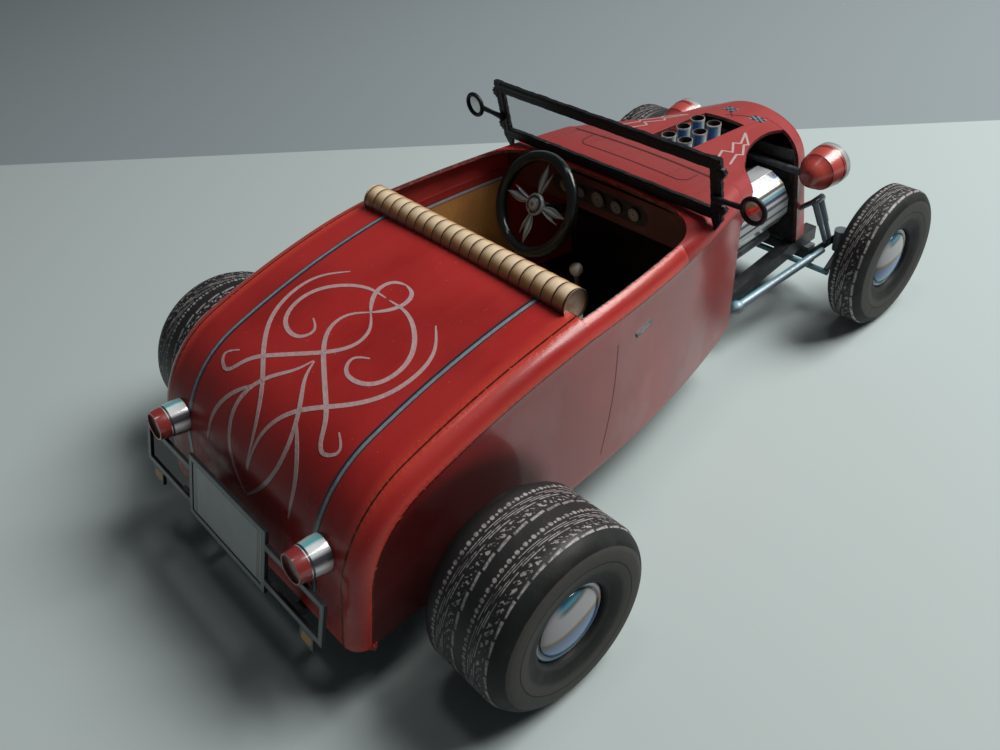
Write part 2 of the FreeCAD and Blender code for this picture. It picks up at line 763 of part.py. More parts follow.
def wheel(axle, side, sign, place, radius, inner, width, bulge, drop, hub):
    """A tyre ring with its hub disc, bored for the pin, and a domed cap in its outer recess."""
    shoulder = radius - drop
    face = width + bulge - d.hub_recess
    tyre = new_body(f"tyre_{axle}_{side}")
    revolve(tyre, [
        (0, radius - drop * 0.12), (drop * 0.12, radius), (width - drop * 0.12, radius),
        (width, radius - drop * 0.12), (width + bulge * 0.75, radius - drop * 0.6),
        (width + bulge, shoulder), (width + bulge, shoulder - drop * 0.6),
        (face + d.hub_recess * 0.4, hub), (face - d.board, hub), (face - d.board, hub_bore),
        (-bulge * 0.4, hub_bore), (-bulge * 0.4, hub), (-bulge, shoulder - drop * 0.6),
        (-bulge, shoulder), (-bulge * 0.75, radius - drop * 0.6)])
    tyre.Placement = Placement(Vector(), TYRE_TURN[sign])
    bind(tyre, BaseX=place, BaseY=sign * inner, BaseZ=radius)
    cap = new_body(f"hubcap_{axle}_{side}")
    seat = face - d.board
    rim = hub - d.glue_line
    revolve(cap, [
        (seat, 0), (seat + d.cap_dome + d.card, 0, (seat + d.cap_dome * 0.8 + d.card, rim * 0.5)),
        (seat + d.card, rim), (seat, rim)])
    cap.Placement = Placement(Vector(), TYRE_TURN[sign])
    bind(cap, BaseX=place, BaseY=sign * inner, BaseZ=radius)
    sub_part(tyre, f"tyre_{axle}_{side}")
    sub_part(cap, f"hubcap_{axle}_{side}")
    return sign * (inner + seat - d.board)


pin_ends = {}
for axle, *sizes in WHEELS:
    for side, sign in LEFT_RIGHT:
        pin_ends[axle, sign] = wheel(axle, side, sign, *sizes)

# ---------------------------------------------------------------- axles and suspension
tube_half = rear_tread_inner - d.rear_bulge - 2 * d.board
tube = cylinder("rear_tube", (rear_axle, -tube_half, d.rear_tyre_radius), "Y", 2 * tube_half,
                d.rear_tube_radius)
rear_pin = cylinder("rear_pin", (rear_axle, pin_ends["rear", -1], d.rear_tyre_radius), "Y",
                    2 * pin_ends["rear", 1], d.pin_radius)
sub_part(fuse("rear_axle_tube", tube, rear_pin), "rear_axle")

beam_foot = d.front_tyre_radius - d.beam_drop - d.beam_height / 2
beam_top = beam_foot + d.beam_height
knuckle_foot = d.front_tyre_radius - d.kingpin_length / 2
knuckle_seat = kingpin_half - d.kingpin_radius
beam = new_body("front_beam")
pad(beam, "YZ", front_axle - d.beam_depth / 2, d.beam_depth,
    [(-d.beam_flat_half, beam_foot), (d.beam_flat_half, beam_foot),
     (knuckle_seat, knuckle_foot + d.board), (knuckle_seat, knuckle_foot + 3 * d.board),
     (d.beam_flat_half, beam_top), (-d.beam_flat_half, beam_top),
     (-knuckle_seat, knuckle_foot + 3 * d.board), (-knuckle_seat, knuckle_foot + d.board)])
kingpins = fuse("kingpins", *(
    cylinder(f"kingpin_{side}", (front_axle, sign * kingpin_half, knuckle_foot), "Z",
             d.kingpin_length, d.kingpin_radius) for side, sign in LEFT_RIGHT))
sub_part(cut("front_beam_cut", beam, kingpins), "front_axle")

knuckles = []
for side, sign in LEFT_RIGHT:
    start = kingpin_half if sign > 0 else pin_ends["front", -1]
    reach = sign * pin_ends["front", sign] - kingpin_half
    pin = cylinder(f"front_pin_{side}", (front_axle, start, d.front_tyre_radius), "Y", reach,
                   d.pin_radius)
    post = cylinder(f"knuckle_post_{side}",
                    (front_axle, sign * kingpin_half, knuckle_foot), "Z",
                    d.kingpin_length, d.kingpin_radius)
    arm_y = sign * (kingpin_half + d.board / 2)
    arm = rod(f"steering_arm_{side}",
              (front_axle, arm_y, knuckle_foot + d.board / 2),
              (front_axle - d.tie_rod_back, arm_y, d.tie_rod_height + d.tie_rod_radius),
              d.tie_rod_radius)
    knuckles.append(fuse(f"knuckle_{side}", pin, post, arm))
sub_part(group("knuckle_pair", *knuckles), "steering_knuckles")

tie_half = kingpin_half + d.board / 2 - d.tie_rod_radius
sub_part(cut("tie_rod_cut",
             cylinder("tie_rod_bar", (front_axle - d.tie_rod_back, -tie_half - d.board,
                                      d.tie_rod_height), "Y", 2 * (tie_half + d.board),
                      d.tie_rod_radius),
             fuse("steering_pair", *knuckles)), "tie_rod")

spring = new_body("leaf_spring")
spring_top = rail_tip_foot
spring_end = beam_top + d.spring_leaf
pad(spring, "YZ", front_axle - d.beam_depth / 2, d.beam_depth,
    [(-d.beam_flat_half, beam_top, (Size.of(0), spring_top - d.spring_leaf)),
     (d.beam_flat_half, beam_top), (d.beam_flat_half, spring_end, (Size.of(0), spring_top)),
     (-d.beam_flat_half, spring_end)])
sub_part(spring, "front_spring")

rods = []
for side, sign in LEFT_RIGHT:
    ball = (front_axle - d.rod_back, sign * (rail_outer + d.rod_ball), rail_foot + d.rod_radius)
    eye = (front_axle - d.beam_depth / 2 - d.rod_radius * 0.7,
           sign * (knuckle_seat - d.board), d.front_tyre_radius - 2.5 * d.board)
    away = Vector(*(last.value - first.value for first, last in zip(ball, eye)))
    neck = d.rod_ball * 0.8
    step = away.Length * 0.8
    link = new_body(f"radius_rod_{side}")
    revolve(link, [(-d.rod_ball, 0, (-neck * 0.3, d.rod_ball * 0.971)),
                   (neck, d.rod_radius), (step, d.rod_radius),
                   (step, d.rod_radius * 0.75), (away.Length, d.rod_radius * 0.75),
                   (away.Length, 0)])
    link.Placement = Placement(Vector(), Rotation(Vector(1, 0, 0), away))
    bind(link, BaseX=ball[0], BaseY=ball[1], BaseZ=ball[2])
    rods.append(link)
sub_part(cut("rod_pair_cut", group("rod_pair", *rods), fuse("rod_seats", frame, beam)),
         "radius_rods")

shocks = []
arm_middle = nose_front - d.nose_strip / 2
shock_y = d.headlight_half_spread
for side, sign in LEFT_RIGHT:
    pieces = []
    for number, along in enumerate((-0.5, 0.5)):
        pieces.append(rod(f"shock_{side}_{number}",
                          (arm_middle + along * d.shock_pitch, sign * shock_y,
                           d.shock_top - d.board / 2),
                          (front_axle + along * d.shock_pitch * 0.8,
                           sign * (knuckle_seat - 1.4 * d.board), knuckle_foot + d.board),
                          d.shock_radius))
    low_y, high_y = sorted((sign * (shock_y - d.shock_arm_reach), sign * (shock_y + d.board)),
                           key=lambda size: Size.of(size).value)
    pieces.append(box(f"shock_arm_{side}", strip_back, nose_front, low_y, high_y,
                      d.shock_top - d.board, d.shock_top))
    shocks.append(fuse(f"shock_set_{side}", *pieces))
shock_seats = fuse("shock_seats", hood_outer, beam, kingpins)
sub_part(cut("shock_pair", group("shock_sets", *shocks), shock_seats), "shock_absorbers")

# ---------------------------------------------------------------- lamps
headlights = []
lenses = []
for side, sign in LEFT_RIGHT:
    radius, reach = d.headlight_radius, d.headlight_length
    bucket = new_body(f"bucket_{side}")
    revolve(bucket, [(0, 0), (reach, 0), (reach, radius), (reach * 0.82, radius),
                     (reach * 0.42, radius * 0.86), (0, radius * 0.36)])
    lens = new_body(f"headlight_lens_{side}")
    revolve(lens, [(reach, 0), (reach + d.lens_depth, 0, (reach + d.lens_depth * 0.9,
                                                        radius * 0.45)),
                   (reach + d.lens_depth * 0.5, radius * 0.88),
                   (reach + d.lens_depth * 0.5, radius), (reach, radius)])
    for piece in (bucket, lens):
        bind(piece, BaseX=front_axle - d.headlight_back, BaseY=sign * d.headlight_half_spread,
             BaseZ=d.headlight_height)
    headlights.append(bucket)
    lenses.append(lens)
    sub_part(bucket, f"headlight_{side}")
sub_part(group("lens_pair", *lenses), "headlight_lenses")
bar_place = front_axle - d.headlight_back + d.headlight_bar_radius + d.board
bar = cylinder("lamp_bar", (bar_place, -d.headlight_half_spread, d.headlight_height), "Y",
               2 * d.headlight_half_spread, d.headlight_bar_radius)
radiator = sub_parts[[item.Label for item in sub_parts].index("radiator")]
hood = sub_parts[[item.Label for item in sub_parts].index("hood_shell")]
sub_part(cut("lamp_bar_cut", bar, fuse("bar_seats", radiator, hood, *headlights)),
         "headlight_bar")

lamp_height = d.bumper_foot + d.bumper_height + d.tail_lamp_rise
lamps = []
glows = []
for side, sign in LEFT_RIGHT:
    reach = d.tail_lamp_length
    lamp = new_body(f"lamp_{side}")
    revolve(lamp, [(-reach, 0), (reach, 0), (reach, d.tail_lamp_face),
                   (0, d.tail_lamp_base), (-reach, d.tail_lamp_base)])
    glow = new_body(f"glow_{side}")
    revolve(glow, [(reach, 0), (reach + d.lens_depth, 0, (reach + d.lens_depth * 0.8,
                                                        d.tail_lamp_face * 0.4)),
                   (reach, d.tail_lamp_face * 0.84)])
    for piece in (lamp, glow):
        piece.Placement = Placement(Vector(), Rotation(Vector(0, 1, 0),
                                                       180 + d.tail_lamp_tilt.value))
        bind(piece, BaseX=rear_axle + d.tail_top_place, BaseY=sign * d.tail_lamp_half_spread,
             BaseZ=lamp_height)
    lamps.append(lamp)
    glows.append(glow)
sub_part(cut("lamp_pair_cut", group("lamp_pair", *lamps), outer_form), "tail_lamps")
sub_part(group("glow_pair", *glows), "tail_lamp_lenses")

# ---------------------------------------------------------------- windscreen
half = screen_half
bar_in = d.screen_bar
post_in = half - bar_in
screen_top = d.screen_height
screen = new_body("screen")
pad(screen, "YZ", -d.board / 2, d.board,
    [(-post_in, 0), (post_in, 0), (post_in + bar_in * 0.2, -d.screen_tip), (half, 0),
     (half, screen_top), (-half, screen_top), (-half, 0), (-(post_in + bar_in * 0.2),
                                                         -d.screen_tip)],
    rectangle(-post_in, post_in, bar_in, screen_top - bar_in))
pane = new_body("pane")
pad(pane, "YZ", -d.film / 2, d.film,
    rectangle(-post_in, post_in, bar_in, screen_top - bar_in))
for piece in (screen, pane):
    piece.Placement = Placement(Vector(), Rotation(Vector(0, 1, 0), -d.screen_rake.value))
    bind(piece, BaseX=screen_place, BaseZ=screen_seat)
screen_frame = cut("screen_cut", screen, outer_form)
sub_part(screen_frame, "windscreen_frame")
sub_part(pane, "windscreen_glass")

mirrors = []
mirror_place = screen_place - d.mirror_setback
for side, sign in LEFT_RIGHT:
    disc = cylinder(f"mirror_disc_{side}", (mirror_place - d.board / 2,
                                            sign * mirror_half, mirror_height), "X",
                    d.board, d.mirror_radius)
    low_y, high_y = sorted((sign * (half - d.card), sign * (mirror_half - d.board)),
                           key=lambda size: Size.of(size).value)
    stem = box(f"mirror_stem_{side}", mirror_place - d.board / 2 + d.stem_back,
               mirror_place + d.board / 2 + d.stem_front, low_y, high_y,
               mirror_height - d.mirror_stem / 2, mirror_height + d.mirror_stem / 2)
    mirrors.append(cut(f"mirror_{side}", fuse(f"mirror_set_{side}", disc, stem), screen))
sub_part(group("mirror_pair", *mirrors), "mirrors")

# ---------------------------------------------------------------- controls
cluster = new_body("cluster")
dial_middle = dash_foot + d.dial_rise
dial_foot = dial_middle - d.dial_half_height
dial_top = dial_middle + d.dial_half_height
pad(cluster, "YZ", dash_face - d.film, d.film,
    [(-d.wheel_offset, dial_foot),
     (d.wheel_offset, dial_foot, (d.wheel_offset + d.dial_round, dial_middle)),
     (d.wheel_offset, dial_top),
     (-d.wheel_offset, dial_top, (-d.wheel_offset - d.dial_round, dial_middle))])
sub_part(cluster, "instrument_cluster")

tilt = math.radians(d.wheel_tilt.value)
hub_place = dash_face - d.wheel_setback
wheel_turn = Rotation(Vector(0, 1, 0), 90 + d.wheel_tilt.value)
ring = doc.addObject("Part::Torus", "steering_ring")
bind(ring, Radius1=d.wheel_rim_radius, Radius2=d.wheel_rim_section)
boss = doc.addObject("Part::Cylinder", "steering_boss")
bind(boss, Radius=d.wheel_hub_radius, Height=2 * d.card, BaseZ=-d.card)
spokes = [boss]
for number, (along_x, along_y) in enumerate(((1, 0), (0, 1))):
    long_way = d.wheel_rim_radius
    wide_way = d.wheel_spoke_width / 2
    reach_x = long_way if along_x else wide_way
    reach_y = long_way if along_y else wide_way
    spokes.append(box(f"spoke_{number}", -reach_x, reach_x, -reach_y, reach_y,
                      -d.card / 2, d.card / 2))
cross = cut("steering_cross", fuse("steering_spider", *spokes), ring)
wheel_base = (hub_place, d.wheel_offset, wheel_height)
rim_item = group("steering_rim", ring)
cross_item = group("steering_spokes_set", cross)
for item in (rim_item, cross_item):
    item.Placement = Placement(Vector(), wheel_turn)
    bind(item, BaseX=wheel_base[0], BaseY=wheel_base[1], BaseZ=wheel_base[2])
sub_part(rim_item, "steering_wheel")
sub_part(cross_item, "steering_spokes")

column_run = firewall - d.card - hub_place - d.card
column_start = (hub_place + d.card * math.cos(tilt), d.wheel_offset,
                wheel_height - d.card * math.sin(tilt))
column_end = (column_start[0] + column_run, d.wheel_offset,
              column_start[2] - column_run * math.tan(tilt))
past_sheet = 4 * d.board
column = rod("column_rod", column_start,
             (column_end[0] + past_sheet, d.wheel_offset,
              column_end[2] - past_sheet * math.tan(tilt)),
             d.column_radius)
cabin_side = box("cabin_side", rear_axle, firewall - d.card, -FAR, FAR, 0, 2 * FAR)
sub_part(common("column_trim", column, cabin_side), "steering_column")

lever_place = cushion_front + d.gear_lever_gap
knob = doc.addObject("Part::Sphere", "gear_knob")
bind(knob, Radius=d.gear_knob_radius, BaseX=lever_place, BaseZ=d.gear_knob_height)
stick = cylinder("gear_stick", (lever_place, Size.of(0), floor_top), "Z",
                 d.gear_knob_height - floor_top, d.gear_knob_radius / 2)
sub_part(fuse("gear_set", knob, stick), "gear_lever")

# ---------------------------------------------------------------- seat
seat_half = waist_half - 2 * d.card - d.seat_clearance
roll_half = seat_half + d.roll_overhang
roll = cylinder("roll", (deck_edge + d.roll_setback, -roll_half, roll_height), "Y",
                2 * roll_half, d.roll_radius)
under_deck = box("under_deck", rear_axle, deck_edge, -FAR, FAR, 0, d.deck_front_height)
shoulders = [item for item in sub_parts if item.Label.startswith("body_shoulder")]
sub_part(cut("roll_cut", roll, fuse("roll_seats", under_deck, *shoulders)), "seat_roll")
back_thick = d.seat_back_thick
back = box("back_slab", deck_edge, deck_edge + back_thick, -seat_half, seat_half,
           floor_top, roll_height)
sub_part(cut("back_cut", back, roll), "seat_back")
sub_part(box("cushion_slab", deck_edge + back_thick, cushion_front,
             -seat_half, seat_half, floor_top, d.seat_top), "seat_cushion")

# ---------------------------------------------------------------- bumper
bumper = new_body("bumper_hoops")
outer_y = d.bumper_half_width
plate_y = d.plate_half_width
strip = d.bumper_strip
high = d.bumper_height
pad(bumper, "YZ", 0, d.card,
    [(-outer_y, 0), (-plate_y, 0), (-plate_y, -d.plate_drop), (plate_y, -d.plate_drop),
     (plate_y, 0), (outer_y, 0), (outer_y, high), (plate_y, high),
     (plate_y, high + d.plate_rise), (-plate_y, high + d.plate_rise), (-plate_y, high),
     (-outer_y, high)],
    rectangle(plate_y, outer_y - strip, strip, high - strip),
    rectangle(-(outer_y - strip), -plate_y, strip, high - strip),
    rectangle(-(plate_y - strip), plate_y - strip, strip - d.plate_drop,
              high + d.plate_rise - strip))
plate = new_body("plate")
pad(plate, "YZ", 0, d.card,
    rectangle(-(plate_y - strip), plate_y - strip, strip - d.plate_drop,
              high + d.plate_rise - strip))
tabs = []
for side, sign in LEFT_RIGHT:
    tab = new_body(f"tab_{side}")
    middle = sign * (outer_y - strip - d.tab_width / 2 - d.board)
    pad(tab, "YZ", 0, d.card,
        rectangle(middle - d.tab_width / 2, middle + d.tab_width / 2, -d.tab_drop, 0))
    tabs.append(tab)
lean = Rotation(Vector(0, 1, 0), d.bumper_lean.value)
bumper_place = (rear_axle - d.rear_overhang
                + d.tab_drop * math.sin(math.radians(d.bumper_lean.value)))
for piece in (bumper, plate, *tabs):
    piece.Placement = Placement(Vector(), lean)
    bind(piece, BaseX=bumper_place, BaseZ=d.bumper_foot)
sub_part(bumper, "rear_bumper")
sub_part(plate, "number_plate")
sub_part(group("tabs", *tabs), "marker_tabs")

brackets = []
heel = rear_axle + d.tail_foot_place - 2 * d.card
toe = bumper_place + d.card / 2
toe_top = d.bumper_foot + d.bumper_strip * 0.9
strap_foot = d.sill_height - 2 * d.board
for side, sign in LEFT_RIGHT:
    strap = new_body(f"strap_{side}")
    pad(strap, "XZ", sign * d.bracket_half_spread - d.board, 2 * d.board,
        [(rail_rear, strap_foot), (heel, strap_foot), (toe, d.bumper_foot),
         (toe + d.film, toe_top), (toe + d.board, toe_top), (heel + d.board, strap_foot + d.board),
         (rail_rear, strap_foot + d.board)])
    brackets.append(strap)
sub_part(cut("bracket_cut", group("bracket_pair", *brackets), bumper), "bumper_brackets")

# ---------------------------------------------------------------- export
doc.recompute()
faults = [item.Name for item in doc.Objects if {"Invalid", "Error"} & set(item.State)]
for item in sub_parts:
    if item.Shape.isNull() or not item.Shape.isValid() or not item.Shape.Solids:
        faults.append(item.Label)
if faults:
    raise RuntimeError("failed: " + ", ".join(faults))

os.makedirs("parts", exist_ok=True)
for item in sub_parts:
    item.Shape.exportStep(f"parts/{item.Label}.step")
print(len(sub_parts), "sub-parts written")
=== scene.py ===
# %% [markdown]
# # A street rod folded from card
#
# The real object is a paper kit at 1:25. Printed sheets are cut, rolled and glued, and then
# varnished. The frame that this lesson loads already has every piece at its size. The cells
# below give each piece the surface, the print and the varnish that it has on the real model.

import math

import bmesh
import bpy
import numpy as np
from mathutils import Matrix, Vector


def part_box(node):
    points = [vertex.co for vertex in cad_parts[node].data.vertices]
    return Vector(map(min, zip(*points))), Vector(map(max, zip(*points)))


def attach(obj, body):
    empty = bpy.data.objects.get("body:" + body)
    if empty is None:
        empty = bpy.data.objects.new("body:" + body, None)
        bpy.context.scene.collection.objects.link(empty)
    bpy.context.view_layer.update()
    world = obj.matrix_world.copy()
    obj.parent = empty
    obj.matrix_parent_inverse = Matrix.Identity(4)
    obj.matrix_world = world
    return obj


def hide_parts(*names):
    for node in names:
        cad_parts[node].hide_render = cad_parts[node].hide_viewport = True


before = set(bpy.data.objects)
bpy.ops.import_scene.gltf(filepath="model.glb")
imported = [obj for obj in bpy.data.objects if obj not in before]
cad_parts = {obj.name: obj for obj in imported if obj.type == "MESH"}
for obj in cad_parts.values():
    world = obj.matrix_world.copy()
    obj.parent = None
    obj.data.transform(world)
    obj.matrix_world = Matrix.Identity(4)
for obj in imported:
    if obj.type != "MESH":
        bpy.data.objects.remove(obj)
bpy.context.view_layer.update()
scene = bpy.context.scene
scene.view_settings.view_transform = "Standard"
MM = 0.001
CAR = "car"
SIDES = (("left", 1), ("right", -1))

# %% [markdown]
# ## The camera
#
# A camera could be turned with three angles, but a direction and a roll say more plainly what
# it does. It stands behind the car's right rear corner, above the deck, and leans a little.

# %% Camera
camera_place = Vector((-94.2, -101.2, 120.9)) * MM
camera_way = Vector((0.4675, 0.6051, -0.6444))
camera_roll = -7.15
camera = bpy.data.objects.new("camera", bpy.data.cameras.new("camera"))
camera.data.lens = 32.94
camera.data.clip_start = 0.005
camera.data.clip_end = 5.0
turn = camera_way.to_track_quat("-Z", "Y").to_matrix()
camera.matrix_world = Matrix.Translation(camera_place) @ (
    turn @ Matrix.Rotation(math.radians(camera_roll), 3, "Z")).to_4x4()
scene.collection.objects.link(camera)
scene.camera = camera
print("camera looks from", [round(c / MM, 1) for c in camera_place], "mm")

# %% [markdown]
# ## Room and light
#
# Small models stand well on a sheet of pale card on a pale table. One large soft lamp, high in
# front and to the right, lights the deck and throws the shadow behind the car. A weak lamp
# overhead and a dim room fill that shadow. A sun would give hard shadows, which such a table
# scene doesn't have.


# %% Floor and lamps
def flat_sheet(name, corners, color):
    """A four-sided sheet of the room. It is scenery."""
    mesh = bpy.data.meshes.new(name)
    mesh.from_pydata([Vector(c) * MM for c in corners], [], [(0, 1, 2, 3)])
    sheet = bpy.data.objects.new(name, mesh)
    scene.collection.objects.link(sheet)
    paint = bpy.data.materials.new(name)
    paint.use_nodes = True
    shader = paint.node_tree.nodes["Principled BSDF"]
    shader.inputs["Base Color"].default_value = (*color, 1)
    shader.inputs["Roughness"].default_value = 0.7
    shader.inputs["Specular IOR Level"].default_value = 0.1
    mesh.materials.append(paint)


FLOOR_REACH = 900.0
sheet_left = np.array((-43.0, 207.8))
sheet_right = np.array((156.6, -11.8))
sheet_way = sheet_right - sheet_left
far_left, far_right = sheet_left - 4 * sheet_way, sheet_right + 3 * sheet_way
away = np.array((-sheet_way[1], sheet_way[0])) / np.linalg.norm(sheet_way) * FLOOR_REACH
flat_sheet("sheet", [(*far_left, 0), (*(far_left - away), 0), (*(far_right - away), 0),
                     (*far_right, 0)], (0.48, 0.56, 0.56))
flat_sheet("table", [(*far_left, 0), (*far_right, 0), (*(far_right + away), 0),
                     (*(far_left + away), 0)], (0.285, 0.335, 0.36))


def soft_lamp(name, place, target, size, watts, color):
    """A square area lamp that faces a target. Its places and its size are in mm."""
    lamp = bpy.data.objects.new(name, bpy.data.lights.new(name, "AREA"))
    lamp.data.size = size * MM
    lamp.data.energy = watts
    lamp.data.color = color
    lamp.location = Vector(place) * MM
    away = Vector(target) - Vector(place)
    lamp.rotation_euler = away.to_track_quat("-Z", "Y").to_euler()
    scene.collection.objects.link(lamp)


soft_lamp("window", (315, -190, 475), (0, 0, 20), 310, 4.15, (1.0, 0.98, 0.95))
soft_lamp("ceiling", (6, 22, 640), (-20, 0, 20), 80, 0.17, (1.0, 0.97, 0.94))
world = bpy.data.worlds.new("room")
world.use_nodes = True
room = world.node_tree
room.nodes["Background"].inputs["Color"].default_value = (0.80, 0.88, 0.95, 1)

# The room gives little light. Where it is seen itself, straight, through film or in varnish,
# it is paler than that by these amounts.
ROOM_LIGHT = 0.035
PALER = (("Is Camera Ray", 0.40), ("Is Transmission Ray", 0.40), ("Is Glossy Ray", 0.06))
seen = room.nodes.new("ShaderNodeLightPath")
strength = None
for ray, gain in PALER:
    step = room.nodes.new("ShaderNodeMath")
    step.operation = "MULTIPLY_ADD"
    room.links.new(seen.outputs[ray], step.inputs[0])
    step.inputs[1].default_value = gain
    if strength is None:
        step.inputs[2].default_value = ROOM_LIGHT
    else:
        room.links.new(strength, step.inputs[2])
    strength = step.outputs[0]
room.links.new(strength, room.nodes["Background"].inputs["Strength"])
scene.world = world
print("two lamps and a pale world")

# %% [markdown]
# ## Making a mesh from arrays
#
# A folded or rolled sheet is a surface with two directions: along and across. A modelling
# tool could push one into shape by hand. Here each surface is worked out as an array of
# points on a grid, because then a size in the text is a size on the model.


# %% Grids to meshes
# The edge mark, in mm, of a place with no cut edge near it, and how near doubled points lie.
NO_EDGE, MERGE = 5.0, 0.004


def patch(points, keep=None, flip=False, slot=0, uv=None, edge=None):
    """One grid of points (rows, columns, 3) in mm, with the marks that its print follows."""
    rows, columns = points.shape[:2]
    if uv is None:
        uv = np.stack(np.meshgrid(np.linspace(0, 1, rows), np.linspace(0, 1, columns),
                                  indexing="ij"), axis=-1)
    if edge is None:
        edge = edge_distance(points)
    return {"points": points, "keep": keep, "flip": flip, "slot": slot, "uv": uv, "edge": edge}


def crossed(first, second):
    """Two rows of values as a grid of pairs: first down its rows, second along its columns."""
    return np.stack(np.broadcast_arrays(first[:, None], second[None, :]), axis=-1)


def no_edge(points):
    """The edge mark of a surface that has no cut edge in sight."""
    return np.full(points.shape[:2], NO_EDGE)


def edge_distance(points):
    """Distance in mm from each grid point to the nearest border, measured along the grid."""
    nearest = []
    for axis in (0, 1):
        steps = np.linalg.norm(np.diff(points, axis=axis), axis=-1)
        run = np.insert(np.cumsum(steps, axis=axis), 0, 0, axis=axis)
        total = np.take(run, [-1], axis=axis)
        nearest.append(np.minimum(run, total - run))
    return np.minimum(*nearest)


def quads_of(part):
    """Corner numbers of each cell: point (i, j) of a grid has the number i * columns + j."""
    rows, columns = part["points"].shape[:2]
    i, j = np.meshgrid(np.arange(rows - 1), np.arange(columns - 1), indexing="ij")
    first = i * columns + j
    quads = np.stack([first, first + columns, first + columns + 1, first + 1], axis=-1)
    if part["flip"]:
        quads = quads[..., ::-1]
    return quads[part["keep"]] if part["keep"] is not None else quads.reshape(-1, 4)


def make_piece(name, parts, materials, body=CAR, replaces=(), slot=None, thick=0.0,
               sharp=35.0, rim=None, inner=0):
    """One object from patches. thick gives the sheet a wall behind its face, in mm. rim and
    inner are the material numbers of its cut edge and of its back.

    Points, faces, UV and the mark called edge go in as whole arrays. Doubled points at
    seams and poles are merged, so that a closed shape is closed."""
    points = np.concatenate([part["points"].reshape(-1, 3) for part in parts]) * MM
    uv = np.concatenate([part["uv"].reshape(-1, 2) for part in parts])
    edge = np.concatenate([part["edge"].reshape(-1) for part in parts])
    faces, slots, start = [], [], 0
    for part in parts:
        quads = quads_of(part)
        faces.append(quads + start)
        slots.append(np.full(len(quads), part["slot"]))
        start += part["points"].shape[0] * part["points"].shape[1]
    faces, slots = np.concatenate(faces), np.concatenate(slots)
    mesh = bpy.data.meshes.new(name)
    mesh.from_pydata(points.tolist(), [], faces.tolist())
    mesh.polygons.foreach_set("material_index", slots.astype(np.int32))
    mesh.uv_layers.new(name="print").data.foreach_set("uv", uv[faces].ravel())
    mesh.attributes.new("edge", "FLOAT", "POINT").data.foreach_set("value", edge)
    mesh.update()
    shape = bmesh.new()
    shape.from_mesh(mesh)
    bmesh.ops.remove_doubles(shape, verts=shape.verts, dist=MERGE * MM)
    loose = [vert for vert in shape.verts if not vert.link_faces]
    bmesh.ops.delete(shape, geom=loose, context="VERTS")
    shape.to_mesh(mesh)
    shape.free()
    for material in materials:
        mesh.materials.append(material)
    piece = bpy.data.objects.new(name, mesh)
    scene.collection.objects.link(piece)
    if thick:
        wall = piece.modifiers.new("card", "SOLIDIFY")
        wall.thickness = thick * MM
        wall.offset = -1.0
        wall.material_offset = inner
        if rim is not None:
            wall.material_offset_rim = rim
        graph = bpy.context.evaluated_depsgraph_get()
        piece.data = bpy.data.meshes.new_from_object(piece.evaluated_get(graph))
        piece.modifiers.clear()
    piece.data.shade_smooth()
    piece.data.set_sharp_from_angle(angle=math.radians(sharp))
    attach(piece, body)
    if replaces:
        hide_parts(*replaces)
    return piece


def measured(node):
    """Low corner, high corner and middle of a frame piece, in mm."""
    low, high = (np.array(corner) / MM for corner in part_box(node))
    return low, high, (low + high) / 2


print("mesh tools ready")

# %% [markdown]
# ## Curves that many pieces share
#
# A card panel's outline is mostly lines and arcs. An arc through three points is the easiest
# to say: where it starts, where it passes and where it ends.


# %% Arcs, paths and spacing
def arc(start, middle, end, count=24):
    """Arc of a circle through three points of a plane, in equal turns about its centre."""
    a, b, c = (np.asarray(point, float) for point in (start, middle, end))
    centre = np.linalg.solve([b - a, c - b], [(b @ b - a @ a) / 2, (c @ c - b @ b) / 2])
    angles = [math.atan2(*(point - centre)[::-1]) for point in (a, b, c)]
    steps = [(after - before + math.pi) % math.tau - math.pi
             for before, after in zip(angles, angles[1:])]
    turns = angles[0] + sum(steps) * np.linspace(0, 1, count)
    radius = np.linalg.norm(a - centre)
    return centre + radius * np.stack([np.cos(turns), np.sin(turns)], axis=-1)


def joined_path(*pieces):
    """Pieces of a path end to end, without the doubled points between them."""
    path = np.concatenate([np.asarray(piece, float) for piece in pieces])
    step = np.linalg.norm(np.diff(path, axis=0), axis=-1)
    return path[np.insert(step > 1e-6, 0, True)]


def run_along(path):
    """Distance along a path at each of its points."""
    return np.insert(np.cumsum(np.linalg.norm(np.diff(path, axis=0), axis=-1)), 0, 0)


def at_run(path, run):
    """Points of a path at given distances along it."""
    places = run_along(path)
    return np.stack([np.interp(run, places, path[:, k]) for k in range(path.shape[1])], axis=-1)


def spaced(start, end, count, margin=0.0):
    """Even values from start to end, with one more near each end for an edge line."""
    values = np.linspace(start, end, count)
    if margin:
        way = math.copysign(margin, end - start)
        values = np.sort(np.concatenate([values, [start + way, end - way]]))
        values = values if end > start else values[::-1]
    return values


print("an arc over a half circle has", len(arc((0, 0), (1, 1), (2, 0))), "points")

# %% [markdown]
# ## Materials in general
#
# Everything here is printed paper under varnish. The paper gives the colour, the varnish gives
# a clear coat with brush marks in it, and a cut edge shows as a thin dark line. A flat colour
# would look like plastic, so each card gets faint blotches, dust and a wavy surface.


# %% Node helpers
def new_material(name, color, rough, coat=0.0, coat_rough=0.03, **settings):
    """A material, its node tree and its shader. coat is the weight of its varnish, and
    settings are other sockets of the shader."""
    material = bpy.data.materials.new(name)
    material.use_nodes = True
    material.diffuse_color = (*color, 1)
    shader = material.node_tree.nodes["Principled BSDF"]
    shader.inputs["Base Color"].default_value = (*color, 1)
    settings.update(Roughness=rough, Coat_Weight=coat, Coat_Roughness=coat_rough)
    for socket, value in settings.items():
        shader.inputs[socket.replace("_", " ")].default_value = value
    return material, material.node_tree, shader


